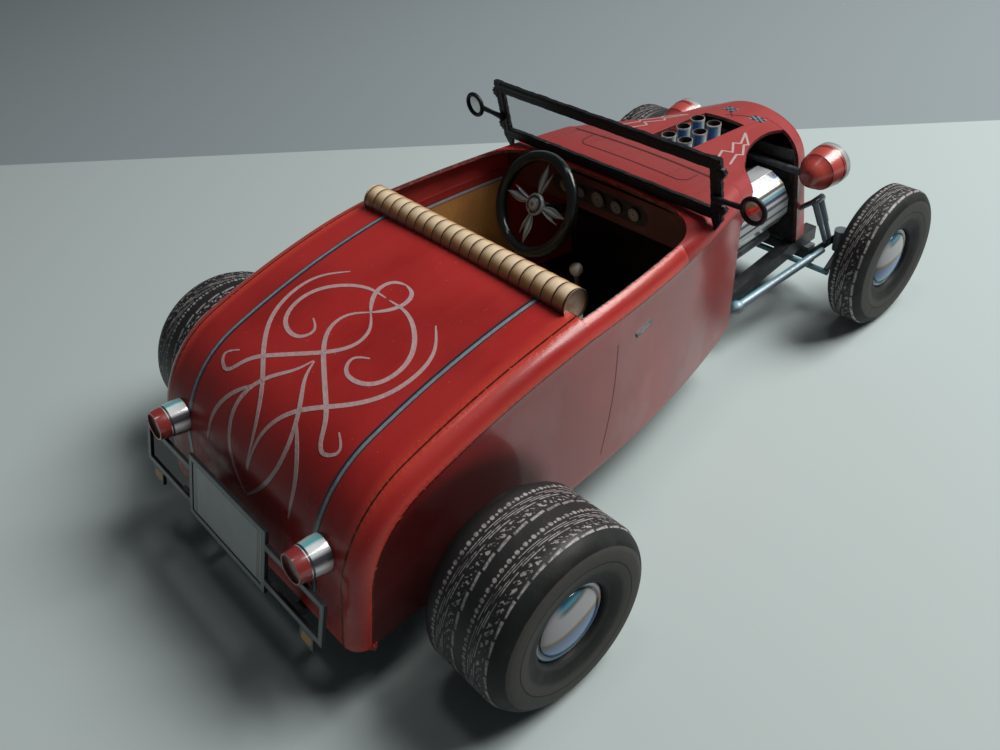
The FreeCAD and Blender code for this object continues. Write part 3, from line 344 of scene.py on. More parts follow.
def node(tree, kind, inputs=None, output=0, **properties):
    """Adds a node. An input that is a socket is linked, and any other is set."""
    item = tree.nodes.new("ShaderNode" + kind)
    for key, value in properties.items():
        setattr(item, key, value)
    for key, value in (inputs or {}).items():
        if isinstance(value, bpy.types.NodeSocket):
            tree.links.new(value, item.inputs[key])
        else:
            item.inputs[key].default_value = value
    return item.outputs[output]


def calc(tree, operation, a, b=0.0, c=0.0):
    """One step of arithmetic on one, two or three values."""
    return node(tree, "Math", {0: a, 1: b, 2: c}, operation=operation)


def times(tree, a, b):
    """The product of two values. As masks, it is what lies in both of them."""
    return calc(tree, "MULTIPLY", a, b)


def away_from(tree, value, centre):
    """How far a value is from a centre, on either side."""
    return calc(tree, "ABSOLUTE", calc(tree, "SUBTRACT", value, centre))


def ramp(tree, value, low, high):
    """0 below low, 1 above high, and smooth between them. It falls if low is above high."""
    return node(tree, "MapRange", {"Value": value, "From Min": low, "From Max": high},
                interpolation_type="SMOOTHSTEP", clamp=True)


def blend(tree, factor, a, b):
    """Mixes two colours."""
    colors = [value if isinstance(value, bpy.types.NodeSocket) else (*value, 1)
              for value in (a, b)]
    return node(tree, "Mix", {0: factor, 6: colors[0], 7: colors[1]}, output=2, data_type="RGBA")


def places(tree, scale=(1, 1, 1)):
    """Object coordinates in mm, stretched by scale."""
    spot = node(tree, "TexCoord", output=3)
    return node(tree, "Mapping", {"Vector": spot, "Scale": tuple(k / MM for k in scale)})


def noise(tree, scale, detail=2.0, stretch=(1, 1, 1), rough=0.5):
    """Soft blotches, 0 to 1 and mostly near 0.5. scale is about how many there are in 1 mm."""
    return node(tree, "TexNoise", {"Vector": places(tree, stretch), "Scale": scale,
                                   "Detail": detail, "Roughness": rough})


def split_up(tree, vector):
    """The x, y and z of a vector."""
    item = tree.nodes.new("ShaderNodeSeparateXYZ")
    tree.links.new(vector, item.inputs[0])
    return item.outputs[0], item.outputs[1], item.outputs[2]


def print_place(tree):
    """The two directions of the piece's own print."""
    return split_up(tree, node(tree, "UVMap", uv_map="print"))[:2]


def edge_place(tree):
    """Distance in mm from the nearest edge of the sheet."""
    return node(tree, "Attribute", attribute_name="edge", output=2)


def add_bump(tree, shader, height, depth, distance=1.0):
    """Raises the surface by height times distance, in mm."""
    tree.links.new(node(tree, "Bump", {"Height": height, "Strength": depth,
                                       "Distance": distance * MM}), shader.inputs["Normal"])


def color_from(tree, shader, color):
    """Makes a socket the shader's colour."""
    tree.links.new(color, shader.inputs["Base Color"])


print("node helpers ready")

# %% [markdown]
# ## Varnished red card
#
# The body's print is a warm red. The varnish over it is brushed on, so it has faint streaks
# and it shines in broken patches along every fold. A clear coat over a rougher base does
# both, and the mark called edge darkens the glued seams. Beside each seam the red is painted
# brighter as a highlight, and from the cowl forward it is painted pinker and paler as a sheen.


# %% Red card
def card_coat(tree, shader, depth=0.35, streak=(0.25, 1.0, 1.0), rough=None):
    """Brush marks and paper waves in the varnish, lumpy next to a seam. With rough, a pair of
    roughnesses, the varnish lies in smooth and dull patches, smooth along the seams."""
    waves = noise(tree, 0.16, 3.0, streak)
    marks = noise(tree, 1.4, 2.0, streak)
    near = ramp(tree, edge_place(tree), 1.6, 0.1)
    lumps = noise(tree, 1.3, 3.0)
    height = calc(tree, "ADD", calc(tree, "MULTIPLY_ADD", marks, 0.10, waves),
                  times(tree, times(tree, lumps, near), 0.8))
    add_bump(tree, shader, height, depth, 0.35)
    if rough:
        pool = calc(tree, "MAXIMUM", ramp(tree, waves, 0.50, 0.62), near)
        tree.links.new(node(tree, "MapRange", {"Value": pool, "To Min": rough[1],
                                               "To Max": rough[0]}), shader.inputs["Roughness"])


def seam_ink(tree, color, width=0.14):
    """The glued seam: a thin brown line along the edge of the sheet, with orange flecks in it."""
    wobble = noise(tree, 0.7, 3.0)
    line = calc(tree, "SUBTRACT", edge_place(tree), calc(tree, "MULTIPLY_ADD", wobble, 0.12,
                                                         width - 0.06))
    fleck = ramp(tree, noise(tree, 1.9, 3.0), 0.60, 0.70)
    ink = blend(tree, fleck, (0.050, 0.010, 0.007), (0.42, 0.09, 0.05))
    return blend(tree, ramp(tree, line, 0.06, -0.02), color, ink)


def dust(tree, color, amount=0.77, speck=(0.72, 0.42, 0.40)):
    """Fine pale specks of dust that dried in the varnish."""
    spots = noise(tree, 3.4, 1.0, rough=0.3)
    return blend(tree, times(tree, ramp(tree, spots, amount, amount + 0.06), 0.35), color, speck)


RED = (0.40, 0.022, 0.020)
DEEP_RED = (0.30, 0.013, 0.012)
EDGE_HIGHLIGHT_RED = (0.52, 0.045, 0.030)
red_card, tree, shader = new_material("red_varnish", RED, 0.5, 0.34, 0.2, Specular_IOR_Level=0.3)
tone = noise(tree, 0.05, 3.0)
paint = blend(tree, ramp(tree, tone, 0.35, 0.7), RED, DEEP_RED)
# Painted highlight: within about 2 mm of an edge the red turns brighter, where the folds shine.
paint = blend(tree, ramp(tree, edge_place(tree), 2.2, 0.2), paint, EDGE_HIGHLIGHT_RED)
# Painted sheen: from the cowl forward the red is pinker and paler, for the pale haze and sheen on
# the cowl and hood.
x, y, z = split_up(tree, places(tree))
paint = blend(tree, ramp(tree, x, 8.0, 24.0), paint, (0.36, 0.052, 0.052))
color_from(tree, shader, seam_ink(tree, dust(tree, paint)))
card_coat(tree, shader, 0.45, rough=(0.26, 0.46))

# The flanks carry a printed shade round the rear wheel. Its middle is a little behind the axle,
# and it fades out between the two radii.
SHADE_BACK, SHADE_RADII = 4.0, (20.8, 16.0)
axle_box = measured("tyre_rear_right")
rear_axle, rear_radius = axle_box[2][0], axle_box[2][2]
side_card, tree, shader = new_material("flank_varnish", RED, 0.5, 1.0, 0.13, Coat_IOR=1.62)
x, y, z = split_up(tree, places(tree))
from_axle = node(tree, "VectorMath", {0: node(tree, "CombineXYZ", {0: x, 2: z}),
                                      1: (rear_axle - SHADE_BACK, 0, rear_radius)}, output=1,
                 operation="DISTANCE")
arch = ramp(tree, from_axle, *SHADE_RADII)
tone = noise(tree, 0.05, 3.0)
paint = blend(tree, ramp(tree, tone, 0.35, 0.7), DEEP_RED, (0.22, 0.010, 0.009))
paint = blend(tree, times(tree, arch, 0.92), paint, (0.05, 0.005, 0.005))
color_from(tree, shader, seam_ink(tree, dust(tree, paint, 0.8)))
card_coat(tree, shader, 0.3, (0.4, 1.0, 0.25), rough=(0.4, 0.6))
tree.links.new(calc(tree, "MULTIPLY_ADD", arch, -0.7, 1.0), shader.inputs["Coat Weight"])

# The back of the sheet, where it shows inside the tub and under the hood.
black_card, tree, shader = new_material("black_card", (0.013, 0.013, 0.015), 0.6, 0.15, 0.4)
grain = noise(tree, 0.9, 3.0)
color_from(tree, shader, blend(tree, grain, (0.010, 0.006, 0.006), (0.026, 0.018, 0.017)))
add_bump(tree, shader, grain, 0.25, 0.2)

cut_edge, tree, shader = new_material("cut_edge", (0.09, 0.018, 0.014), 0.5, 0.6, 0.25)
fleck = noise(tree, 1.2, 3.0)
color_from(tree, shader, blend(tree, ramp(tree, fleck, 0.45, 0.7), (0.10, 0.014, 0.012),
                               (0.34, 0.05, 0.035)))
add_bump(tree, shader, fleck, 0.6, 0.2)
back_card, tree, shader = new_material("back_card", (0.14, 0.011, 0.010), 0.6, 0.15, 0.4)
grain = noise(tree, 0.4, 3.0)
color_from(tree, shader, blend(tree, grain, (0.26, 0.015, 0.014), (0.44, 0.030, 0.026)))

# A body panel's materials are its face, its cut edge and its back. Its wall uses all three.
DARK_BACK, PALE_BACK = (cut_edge, black_card), (cut_edge, back_card)
CARD = 0.6
WALL = {"thick": CARD, "rim": 1, "inner": 2}
print("red card, flank card, two backs and the cut edge")

# %% [markdown]
# ## The tub
#
# The real tub is three strips: a deck that rolls down over the tail, a rounded shoulder each
# side, and flat flanks. Boxes with rounded edges could stand for it, but the shoulder follows
# both the side line and the plan. So the skin is one formula of two values, `along` the side
# line and `across` it, and each strip is a part of it.

# %% The tub's two outlines
sill = measured("body_side_left")[0][2]
firewall = rear_axle + 70.0
deck_end = rear_axle + 25.0
dash_face = rear_axle + 57.0
cowl_seam = rear_axle + 50.0
SHOULDER = 3.0
DECK_CROWN = 0.7
TAIL_HEIGHT, LEVEL_HEIGHT = 30.0, 38.0
TUMBLEHOME = math.tan(math.radians(2.2))
tail_line = [(-23.1, sill), (-20.9, 22.0)]
haunch = arc((-20.9, 22.0), (-16.4, 31.0), (-8.0, 36.4), 30)
deck_line = arc((-8.0, 36.4), (8.3, 40.2), (25.0, 42.0), 30)
side_line = joined_path(at_run(np.array(tail_line), np.linspace(0, 12, 10)), haunch, deck_line,
                        at_run(np.array([(25.0, 42.0), (70.0, 40.8)]), np.linspace(0, 46, 46)))
side_line[:, 0] += rear_axle
side_runs = run_along(side_line)
side_ways = np.gradient(side_line, side_runs, axis=0)
for _ in range(3):
    side_ways[1:-1] = (side_ways[:-2] + 2 * side_ways[1:-1] + side_ways[2:]) / 4
side_ways /= np.linalg.norm(side_ways, axis=1, keepdims=True)
side_outs = np.stack([-side_ways[:, 1], side_ways[:, 0]], axis=-1)
plan_line = np.concatenate([[(-40.0, 27.9)], arc((18.0, 27.9), (45.0, 25.9), (70.0, 20.7), 40)])
plan_line[:, 0] += rear_axle


def run_at_x(x):
    """Distance along the side line at a place along the car."""
    return np.interp(x, side_line[:, 0], side_runs)


def plan_half(x):
    """Half of the tub's width at its sill, read from its outline in plan."""
    return np.interp(x, plan_line[:, 0], plan_line[:, 1])


def tub(along, across, side=-1, lift=0.0):
    """Skin of the tub at runs along the side line and at places across it.

    across goes 0 to 1 over the flat top, 1 to 2 round the shoulder, a quarter turn of a
    circle, and 2 to 3 down the flank to the sill. lift stands off the skin, in mm."""
    along, across = np.broadcast_arrays(np.asarray(along, float), np.asarray(across, float))
    x, z, out_x, out_z = (np.interp(along, side_runs, line) for line in
                          (side_line[:, 0], side_line[:, 1], side_outs[:, 0], side_outs[:, 1]))
    centre_x, centre_z = x - SHOULDER * out_x, z - SHOULDER * out_z
    reach = plan_half(centre_x) + (centre_z - sill) * TUMBLEHOME - SHOULDER
    top = np.clip(across, 0, 1)
    turn = np.clip(across - 1, 0, 1) * math.pi / 2
    drop = np.clip(across - 2, 0, 1)
    bulge = DECK_CROWN * (1 - top ** 2) * np.clip((z - 30) / 12, 0, 1)
    round_out = (SHOULDER + lift) * np.cos(turn) + bulge
    skin_x, skin_z = centre_x + round_out * out_x, centre_z + round_out * out_z
    foot_x = np.interp(along, (0, side_runs[-1]), (centre_x.min(), side_line[-1, 0]))
    skin_x = np.where(drop > 0, centre_x + (foot_x - centre_x) * drop, skin_x)
    skin_z = np.where(drop > 0, centre_z + (sill - centre_z) * drop, skin_z)
    flank = plan_half(skin_x) + (skin_z - sill) * TUMBLEHOME + lift
    skin_y = np.where(drop > 0, flank, reach * top + (SHOULDER + lift) * np.sin(turn))
    return np.stack([skin_x, side * skin_y, skin_z], axis=-1)


def across_of(y, x):
    """The value of across where the skin is y from the middle, on the level part. There the
    shoulder starts at reach, and round it the sine of the turn is (y - reach) / SHOULDER."""
    reach = plan_half(x) + (LEVEL_HEIGHT - sill) * TUMBLEHOME - SHOULDER
    turn = np.arcsin(np.clip((y - reach) / SHOULDER, 0, 1)) / (math.pi / 2)
    return np.where(y < reach, y / reach, 1 + turn)


tail_run = 0.0
deck_run = float(run_at_x(deck_end))
cowl_run = float(run_at_x(cowl_seam))
dash_run = float(run_at_x(dash_face))
front_run = float(run_at_x(firewall))
print("side line", round(front_run, 1), "mm long")

# %% Deck, shoulders and flanks
runs = spaced(tail_run, deck_run, 90, 0.3)[:, None]
crossing = spaced(-1, 1, 41, 0.012)[None, :]
deck_points = tub(runs, np.abs(crossing))
deck_points[..., 1] = np.abs(deck_points[..., 1]) * np.sign(crossing)
make_piece("deck", [patch(deck_points)], [red_card, *DARK_BACK], replaces=["deck_panel"],
           slot="red_card", **WALL)

RIM_INSET = 1.0
for side, sign in SIDES:
    round_it = spaced(1, 2, 14, 0.1)[None, :]
    tail_part = tub(runs, round_it, sign)
    rim_runs = spaced(deck_run, cowl_run, 44, 0.3)
    rim_x = np.interp(rim_runs, side_runs, side_line[:, 0])
    rim_start = across_of(plan_half(rim_x) - RIM_INSET, rim_x)
    share = round_it - 1
    rim_part = tub(rim_runs[:, None], rim_start[:, None] * (1 - share) + 2 * share, sign)
    both = np.concatenate([tail_part[:-1], rim_part])
    make_piece(f"shoulder_{side}", [patch(both, flip=sign < 0)], [red_card, *PALE_BACK],
               replaces=[f"body_shoulder_{side}"], slot="red_card", **WALL)
    flank_points = tub(spaced(tail_run, front_run, 150, 0.3)[:, None],
                       spaced(2.0001, 3, 40, 0.012)[None, :], sign)
    make_piece(f"flank_{side}", [patch(flank_points, flip=sign < 0)], [side_card, *PALE_BACK],
               replaces=[f"body_side_{side}"], slot="red_card", **WALL)
print("deck, shoulders and flanks")

# %% [markdown]
# ## The cowl
#
# The cowl closes the tub in front of the cockpit. Its rear edge is straight across the
# dashboard and turns back along the cockpit's sides in a quarter circle.

# %% Cowl
CORNER = 7.0
cowl_parts = []
for _, sign in SIDES:
    strip_x = dash_face - CORNER * (1 - np.sin(np.linspace(0, math.pi / 2, 18)))
    inset = CORNER - np.sqrt(np.maximum(CORNER ** 2 - (strip_x - dash_face + CORNER) ** 2, 0))
    start = across_of(plan_half(strip_x) - RIM_INSET - inset, strip_x)[:, None]
    share = spaced(0, 1, 26, 0.02)[None, :]
    strip = tub(run_at_x(strip_x)[:, None], start * (1 - share) + 2 * share, sign)
    cowl_parts.append(patch(strip, flip=sign < 0))
    seam = float(start[-1, 0])
    main_runs = spaced(dash_run, front_run, 14, 0.25)[:, None]
    inner = tub(main_runs, np.linspace(0, seam, 20)[None, :], sign)
    outer = tub(main_runs, (seam * (1 - share) + 2 * share), sign)
    cowl_parts.append(patch(inner, flip=sign < 0))
    cowl_parts.append(patch(outer, flip=sign < 0))

# Its cut edge shows along the dashboard, in the first row of the inner and outer strips.
for part, at_dash in zip(cowl_parts, (False, True, True) * 2):
    first_row = at_dash & (part["points"][..., 0] < dash_face + 0.01)
    part["edge"] = np.where(first_row, 0.0, NO_EDGE)
cowl = make_piece("cowl", cowl_parts, [red_card, *PALE_BACK], replaces=["cowl_panel"],
                  slot="red_card", **WALL)
print("cowl", len(cowl.data.polygons), "faces")

# %% [markdown]
# ## The hood
#
# The hood runs from a wide arch at the firewall to a narrow one at the nose. Between them it
# is ruled: each point moves in a straight line. Its sides are cut away over the engine, and
# the grid follows that cut, so the edge is clean without a boolean.

# %% Hood
nose_low, nose_high, _ = measured("hood_shell")
nose_front, hood_foot = nose_high[0], nose_low[2]
STRIP = 4.0
strip_back = nose_front - STRIP
REAR_ARCH = {"foot": 21.0, "waist": (21.7, 37.6), "corner": (20.9, 39.8), "edge": (18.6, 40.6),
             "crown": 41.2}
NOSE_ARCH = {"foot": 14.3, "waist": (12.3, 29.0), "corner": (11.0, 33.2), "edge": (8.0, 36.0),
             "crown": 38.0}


def half_arch(shape):
    """Half of an arch, from the crown to the foot, as (y, z)."""
    edge_y, edge_z = shape["edge"]
    top = arc((-edge_y, edge_z), (0, shape["crown"]), (edge_y, edge_z), 61)[30:]
    corner = arc(shape["edge"], shape["corner"], shape["waist"], 25)
    flank = np.linspace(shape["waist"], (shape["foot"], hood_foot), 30)
    return np.concatenate([top, corner[1:], flank[1:]])


rear_arch, nose_arch = half_arch(REAR_ARCH), half_arch(NOSE_ARCH)


def arch_at(x):
    """Half arch of the hood at x: the two end arches, mixed by the share of its length."""
    share = (x - firewall) / (nose_front - firewall)
    return rear_arch * (1 - share) + nose_arch * share


def hood(x, y, lift=0.0):
    """Top of the hood at places (x, y), raised by lift. Each place has its own arch, and z is
    read on the straight piece of it that lies over y."""
    half, tall = np.moveaxis(arch_at(x[..., None, None])[..., :50, :], -1, 0)
    k = np.clip((half < np.abs(y)[..., None]).sum(axis=-1, keepdims=True), 1, 49)
    y0, y1, z0, z1 = (np.take_along_axis(line, k + step, -1)[..., 0] for line in (half, tall)
                      for step in (-1, 0))
    return np.stack([x, y, z0 + (z1 - z0) * (np.abs(y) - y0) / (y1 - y0) + lift], axis=-1)


# The side is cut away: below a rising line behind the tongue, and in front of it outside a
# curve that is drawn in plan and swings in towards the slot.
TONGUE, CUT_HEIGHT, CUT_RISE = 4.9, 33.3, 4.4
tongue = firewall + TONGUE
bay_curve = joined_path(
    arc((tongue, 20.2), (tongue + 2.36, 16.84), (tongue + 5.9, 14.2), 16),
    arc((tongue + 5.9, 14.2), (tongue + 13.0, 10.46), (tongue + 21.0, 9.0), 20),
    [(strip_back, 9.4)])


def foot_run(x):
    """Run along the arch from the crown to the cut, at a place x."""
    path = arch_at(x)
    runs = run_along(path)
    if x <= tongue:
        height = CUT_HEIGHT + CUT_RISE * (x - firewall) / TONGUE
        return np.interp(-height, -path[:, 1], runs)
    half = np.interp(x, *bay_curve.T)
    return np.interp(half, path[:50, 0], runs[:50])


SCOOP_HALF = 4.7
scoop = (firewall + 7.0, firewall + 23.3)


def arch_rows(stations, end_of):
    """Grid over half of the hood: stations by columns, with a column line at the scoop.
    end_of gives the run along the arch at which a row ends."""
    inner, outer = [], []
    for x in stations:
        path = arch_at(x)
        runs = run_along(path)
        at_scoop = np.interp(SCOOP_HALF, path[:50, 0], runs[:50])
        inner.append(np.insert(at_run(path, np.linspace(0, at_scoop, 9)), 0, x, axis=1))
        outer.append(np.insert(at_run(path, spaced(at_scoop, end_of(x), 46, 0.2)), 0, x, axis=1))
    return np.array(inner), np.array(outer)


stations = np.unique(np.concatenate([spaced(firewall, strip_back, 50, 0.25), scoop,
                                     bay_curve[:, 0], (scoop[0] - 0.25, scoop[1] + 0.25)]))
inner, outer = arch_rows(stations, foot_run)
middle = (stations[:-1] + stations[1:]) / 2
closed = (middle < scoop[0]) | (middle > scoop[1])
strip_inner, strip_outer = arch_rows(spaced(strip_back, nose_front, 6, 0.25),
                                     lambda x: run_along(arch_at(x))[-1])
hood_parts = []
for _, sign in SIDES:
    mirror = np.array([1, sign, 1])
    rim_mark = np.minimum(inner[..., 0] - firewall, NO_EDGE)
    hood_parts += [
        patch(inner * mirror, keep=np.repeat(closed[:, None], 8, axis=1), flip=sign < 0,
              edge=np.where(rim_mark < 0.3, rim_mark, NO_EDGE)),
        patch(outer * mirror, flip=sign < 0),
        patch(strip_inner * mirror, flip=sign < 0, edge=no_edge(strip_inner)),
        patch(strip_outer * mirror, flip=sign < 0, edge=nose_front - strip_outer[..., 0] + 0.1),
    ]
    hood_parts[-3]["edge"][1:-1, :3] = NO_EDGE
make_piece("hood", hood_parts, [red_card, *DARK_BACK], replaces=["hood_shell"], slot="red_card",
           **WALL)
print("hood, open over", [round(c, 1) for c in scoop])

# %% [markdown]
# ## Printed lines
#
# Each is laid on the card here as a film of ink with a thickness of its own, along a centre
# line that follows the surface. The scroll is a plain traditional one of loops and tails, the
# same on both sides.


# %% Ink lines
def smooth_through(points, count=60):
    """Natural cubic spline through points, over the length of its chords.

    Its bend m at each point solves h0*m0 + 2*(h0 + h1)*m1 + h1*m2 = 6*(slope1 - slope0)."""
    p = np.asarray(points, float)
    t = run_along(p)
    h = np.diff(t)
    slope = np.diff(p, axis=0) / h[:, None]
    table = (np.diag(np.r_[1, 2 * (h[:-1] + h[1:]), 1]) + np.diag(np.r_[0, h[1:]], 1)
             + np.diag(np.r_[h[:-1], 0], -1))
    bend = np.linalg.solve(table, np.concatenate([p[:1] * 0, 6 * np.diff(slope, axis=0),
                                                  p[:1] * 0]))
    s = np.linspace(0, t[-1], count)
    k = np.clip(np.searchsorted(t, s) - 1, 0, len(h) - 1)
    a, b, w = (t[k + 1] - s)[:, None], (s - t[k])[:, None], h[k][:, None]
    return ((bend[k] * a ** 3 + bend[k + 1] * b ** 3) / (6 * w)
            + (p[k] / w - bend[k] * w / 6) * a + (p[k + 1] / w - bend[k + 1] * w / 6) * b)


def ink(line, width, surface, lift=0.05, taper=0.0, flip=False):
    """A ribbon of ink along a line of a surface. taper narrows its ends."""
    way = np.gradient(line, axis=0)
    way /= np.maximum(np.linalg.norm(way, axis=1, keepdims=True), 1e-9)
    side = np.stack([-way[:, 1], way[:, 0]], axis=-1)
    share = np.linspace(0, 1, len(line))
    half = width / 2 * (1 - taper * np.abs(2 * share - 1) ** 3)
    flat = line[:, None, :] + side[:, None, :] * (half[:, None] * np.linspace(-1, 1, 3))[..., None]
    return patch(surface(flat[..., 0], flat[..., 1], lift), flip=flip)


def on_deck(back, y, lift):
    """Deck surface at a distance back from its front edge and a place y from the middle."""
    run = deck_run - back
    x = np.interp(run, side_runs, side_line[:, 0])
    reach = plan_half(x) + (TAIL_HEIGHT - sill) * TUMBLEHOME - SHOULDER
    across = np.clip(np.abs(y) / reach, 0, 1)
    points = tub(run, across, lift=lift)
    points[..., 1] = np.sign(y) * np.abs(points[..., 1])
    return points


def ink_material(name, color, fade=0.25):
    """Printed ink that is paler and fuller in blotches, under the varnish."""
    material, tree, shader = new_material(name, color, 0.4, 1.0, 0.16)
    blot = noise(tree, 1.1, 2.0)
    dull = tuple(c * (1 - fade) for c in color)
    color_from(tree, shader, blend(tree, blot, dull, color))
    card_coat(tree, shader)
    return material


pale_ink = ink_material("pale_ink", (0.58, 0.40, 0.40))
white_ink = ink_material("white_ink", (0.62, 0.46, 0.46))
navy_ink = ink_material("navy_ink", (0.016, 0.019, 0.035))
shut_ink = ink_material("shut_ink", (0.13, 0.010, 0.010))
grey_ink = ink_material("grey_ink", (0.28, 0.34, 0.38), 0.55)
INK = 0.04
SCROLL = (
    # centre line as (back, side) from the middle of the deck's front edge, and how it is made:
    # each stroke swells in its middle and runs out to a point
    [(2.6, 0.0), (3.4, 2.0), (6.8, 3.3), (10.8, 2.2), (14.0, 0.0)],
    [(8.6, 0.5), (8.8, 4.6), (12.0, 9.6), (17.4, 13.0), (24.0, 13.6), (29.2, 10.8), (29.6, 6.9),
     (26.0, 5.4), (23.6, 7.8)],
    [(7.6, 11.4), (13.0, 15.2), (21.0, 16.6), (30.0, 14.8), (37.4, 10.0), (44.0, 4.6),
     (52.0, 1.2), (63.0, 0.15)],
    [(14.0, 0.0), (17.6, 2.8), (22.6, 3.4), (27.4, 1.2), (31.8, -2.6), (37.0, -7.6),
     (42.4, -11.6), (46.6, -14.6), (44.6, -16.6), (41.0, -14.4)],
    [(32.0, 0.1), (36.0, 1.3), (40.6, 4.0), (47.0, 6.8), (55.0, 7.4), (63.0, 5.0), (70.0, 0.2)],
    [(45.0, 6.2), (50.0, 9.6), (57.0, 12.2), (65.0, 12.6)],
)
SCROLL_SCALE, SCROLL_START = (0.63, 0.95), (9.5, 0)
strokes = []
for corners in SCROLL:
    line = smooth_through(corners, 30 * len(corners)) * SCROLL_SCALE + SCROLL_START
    for sign in (1, -1):
        strokes.append(ink(line * (1, sign), 0.8, on_deck, taper=0.7, flip=True))
make_piece("scroll", strokes, [pale_ink], slot="red_card", thick=INK)

deck_length = deck_run - tail_run
stripe_y = 18.5
navy, grey = [], []
for _, sign in SIDES:
    for offset, width, bunch in ((-0.42, 0.42, navy), (0.06, 0.55, grey), (0.42, 0.16, navy)):
        line = np.stack([np.linspace(0.2, deck_length - 3.0, 90),
                         np.full(90, sign * (stripe_y + offset))], axis=-1)
        bunch.append(ink(line, width, on_deck, flip=True))
make_piece("stripe_dark", navy, [navy_ink], slot="red_card", thick=INK)
make_piece("stripe_pale", grey, [grey_ink], slot="red_card", thick=INK)


def along_corners(corners, count=120):
    """Straight runs between corners, as evenly spaced points."""
    corners = np.asarray(corners, float)
    return at_run(corners, np.linspace(0, run_along(corners)[-1], count))


# A bolt in outline on each side of the slot: two stepped lines that meet in a point in front.
BOLT = ([(7.0, 10.6), (10.6, 9.0), (11.6, 10.6), (15.0, 8.2), (16.0, 9.2), (20.6, 6.9)],
        [(7.0, 13.4), (11.4, 11.6), (12.4, 12.3), (16.0, 9.9), (16.9, 10.3), (20.6, 6.9)])
bolts, cowl_lines = [], []


def on_cowl(x, y, lift):
    """Cowl surface at places (x, y)."""
    points = tub(run_at_x(x), across_of(np.abs(y), x), lift=lift)
    points[..., 1] = np.sign(y) * np.abs(points[..., 1])
    return points


for line in (along_corners([(firewall - 0.35, -17.5), (firewall - 0.35, 17.5)]),
             along_corners([(23.2, 12.6), (20.4, 12.6), (19.3, 11.2), (19.3, -11.2),
                            (20.4, -12.6), (23.2, -12.6)])):
    cowl_lines.append(ink(line, 0.34 if not cowl_lines else 0.14, on_cowl, flip=True))
make_piece("cowl_lines", cowl_lines, [shut_ink], slot="red_card", thick=INK)
for corners in BOLT:
    for _, sign in SIDES:
        line = along_corners(np.array(corners) * (1, sign) + (firewall, 0))
        bolts.append(ink(line, 0.42, hood))
make_piece("bolts", bolts, [white_ink], slot="red_card", thick=INK)

flags = {0: [], 1: []}
FLAG = 0.68
for start_x, start_y, lean in ((26.6, 1.0, 0.25), (27.0, -5.6, -0.25)):
    for row in range(4):
        for column in range(4):
            start = np.array((firewall + start_x + FLAG * (row * 0.8 + lean * column),
                              start_y + FLAG * column))
            line = start + np.linspace(0, FLAG * 0.8, 3)[:, None] * (1, 0)
            flags[(row + column) % 2].append(ink(line, FLAG, hood))
    pole = np.linspace((firewall + 24.7, -0.8 * np.sign(start_y)),
                       (firewall + start_x + 1.2, start_y + 2 * FLAG), 16)
    flags[0].append(ink(pole, 0.16, hood))
make_piece("flags_dark", flags[0], [navy_ink], slot="red_card", thick=INK)
make_piece("flags_pale", flags[1], [grey_ink], slot="red_card", thick=INK)


def on_flank(x, z, lift, sign=-1):
    """Flank surface at places (x, z): it leans out by TUMBLEHOME for each mm above the sill."""
    y = plan_half(x) + (z - sill) * TUMBLEHOME + lift
    return np.stack([x, sign * y, z], axis=-1)


flank_lines, handles, handle_cores = [], [], []
DOOR = smooth_through([(-14.9, 34.4), (-16.1, 24.1), (-19.0, 13.8)], 60)
HANDLE = np.linspace((rear_axle + 35.4, 33.3), (rear_axle + 39.2, 33.9), 12)
for _, sign in SIDES:
    surface = (lambda x, z, lift, sign=sign: on_flank(x, z, lift, sign))
    flank_lines.append(ink(DOOR, 0.16, surface, flip=sign > 0))
    handles.append(ink(HANDLE, 0.72, surface, lift=0.22, flip=sign > 0))
    handle_cores.append(ink(HANDLE[2:-2], 0.24, surface, lift=0.28, flip=sign > 0))
make_piece("door_lines", flank_lines, [shut_ink], slot="red_card", thick=INK)
make_piece("door_handles", handles, [navy_ink], slot="red_card", thick=0.2)
make_piece("handle_cores", handle_cores, [grey_ink], slot="red_card", thick=INK)
print(len(strokes), "strokes in the scroll")

# %% [markdown]
# ## Chrome that is only ink
#
# It prints chrome: bands of white, blue, cyan and black that run along a tube or round a dome.
# One recipe makes them all, a ramp of close steps over one direction of the piece's own print.


# %% Printed chrome
def banded(tree, value, bands, mode="LINEAR"):
    """A ramp of colours over a value from 0 to 1."""
    item = tree.nodes.new("ShaderNodeValToRGB")
    tree.links.new(value, item.inputs[0])
    item.color_ramp.interpolation = mode
    while len(item.color_ramp.elements) < len(bands):
        item.color_ramp.elements.new(0.5)
    for stop, (place, color) in zip(item.color_ramp.elements, bands):
        stop.position, stop.color = place, (*color, 1)
    return item.outputs[0]


def chrome_print(name, bands):
    """Printed chrome: bands across the second direction of the print, a little uneven."""
    material, tree, shader = new_material(name, bands[0][1], 0.4, 0.6, 0.12)
    along, around = print_place(tree)
    wobble = calc(tree, "MULTIPLY_ADD", noise(tree, 0.35, 2.0), 0.03, around)
    color_from(tree, shader, banded(tree, calc(tree, "FRACT", wobble), bands))
    card_coat(tree, shader, 0.2)
    return material


blue_bar = chrome_print("blue_grey_print", (
    (0.0, (0.20, 0.26, 0.30)), (0.16, (0.10, 0.13, 0.16)), (0.30, (0.24, 0.33, 0.38)),
    (0.48, (0.06, 0.08, 0.10)), (0.62, (0.30, 0.38, 0.43)), (0.80, (0.08, 0.11, 0.14))))
rod_print = chrome_print("rod_print", (
    (0.0, (0.17, 0.38, 0.46)), (0.12, (0.45, 0.58, 0.64)), (0.2, (0.06, 0.12, 0.17)),
    (0.32, (0.22, 0.18, 0.18)), (0.45, (0.10, 0.10, 0.11)), (0.62, (0.20, 0.40, 0.48)),
    (0.80, (0.04, 0.06, 0.08)), (0.92, (0.12, 0.32, 0.40))))


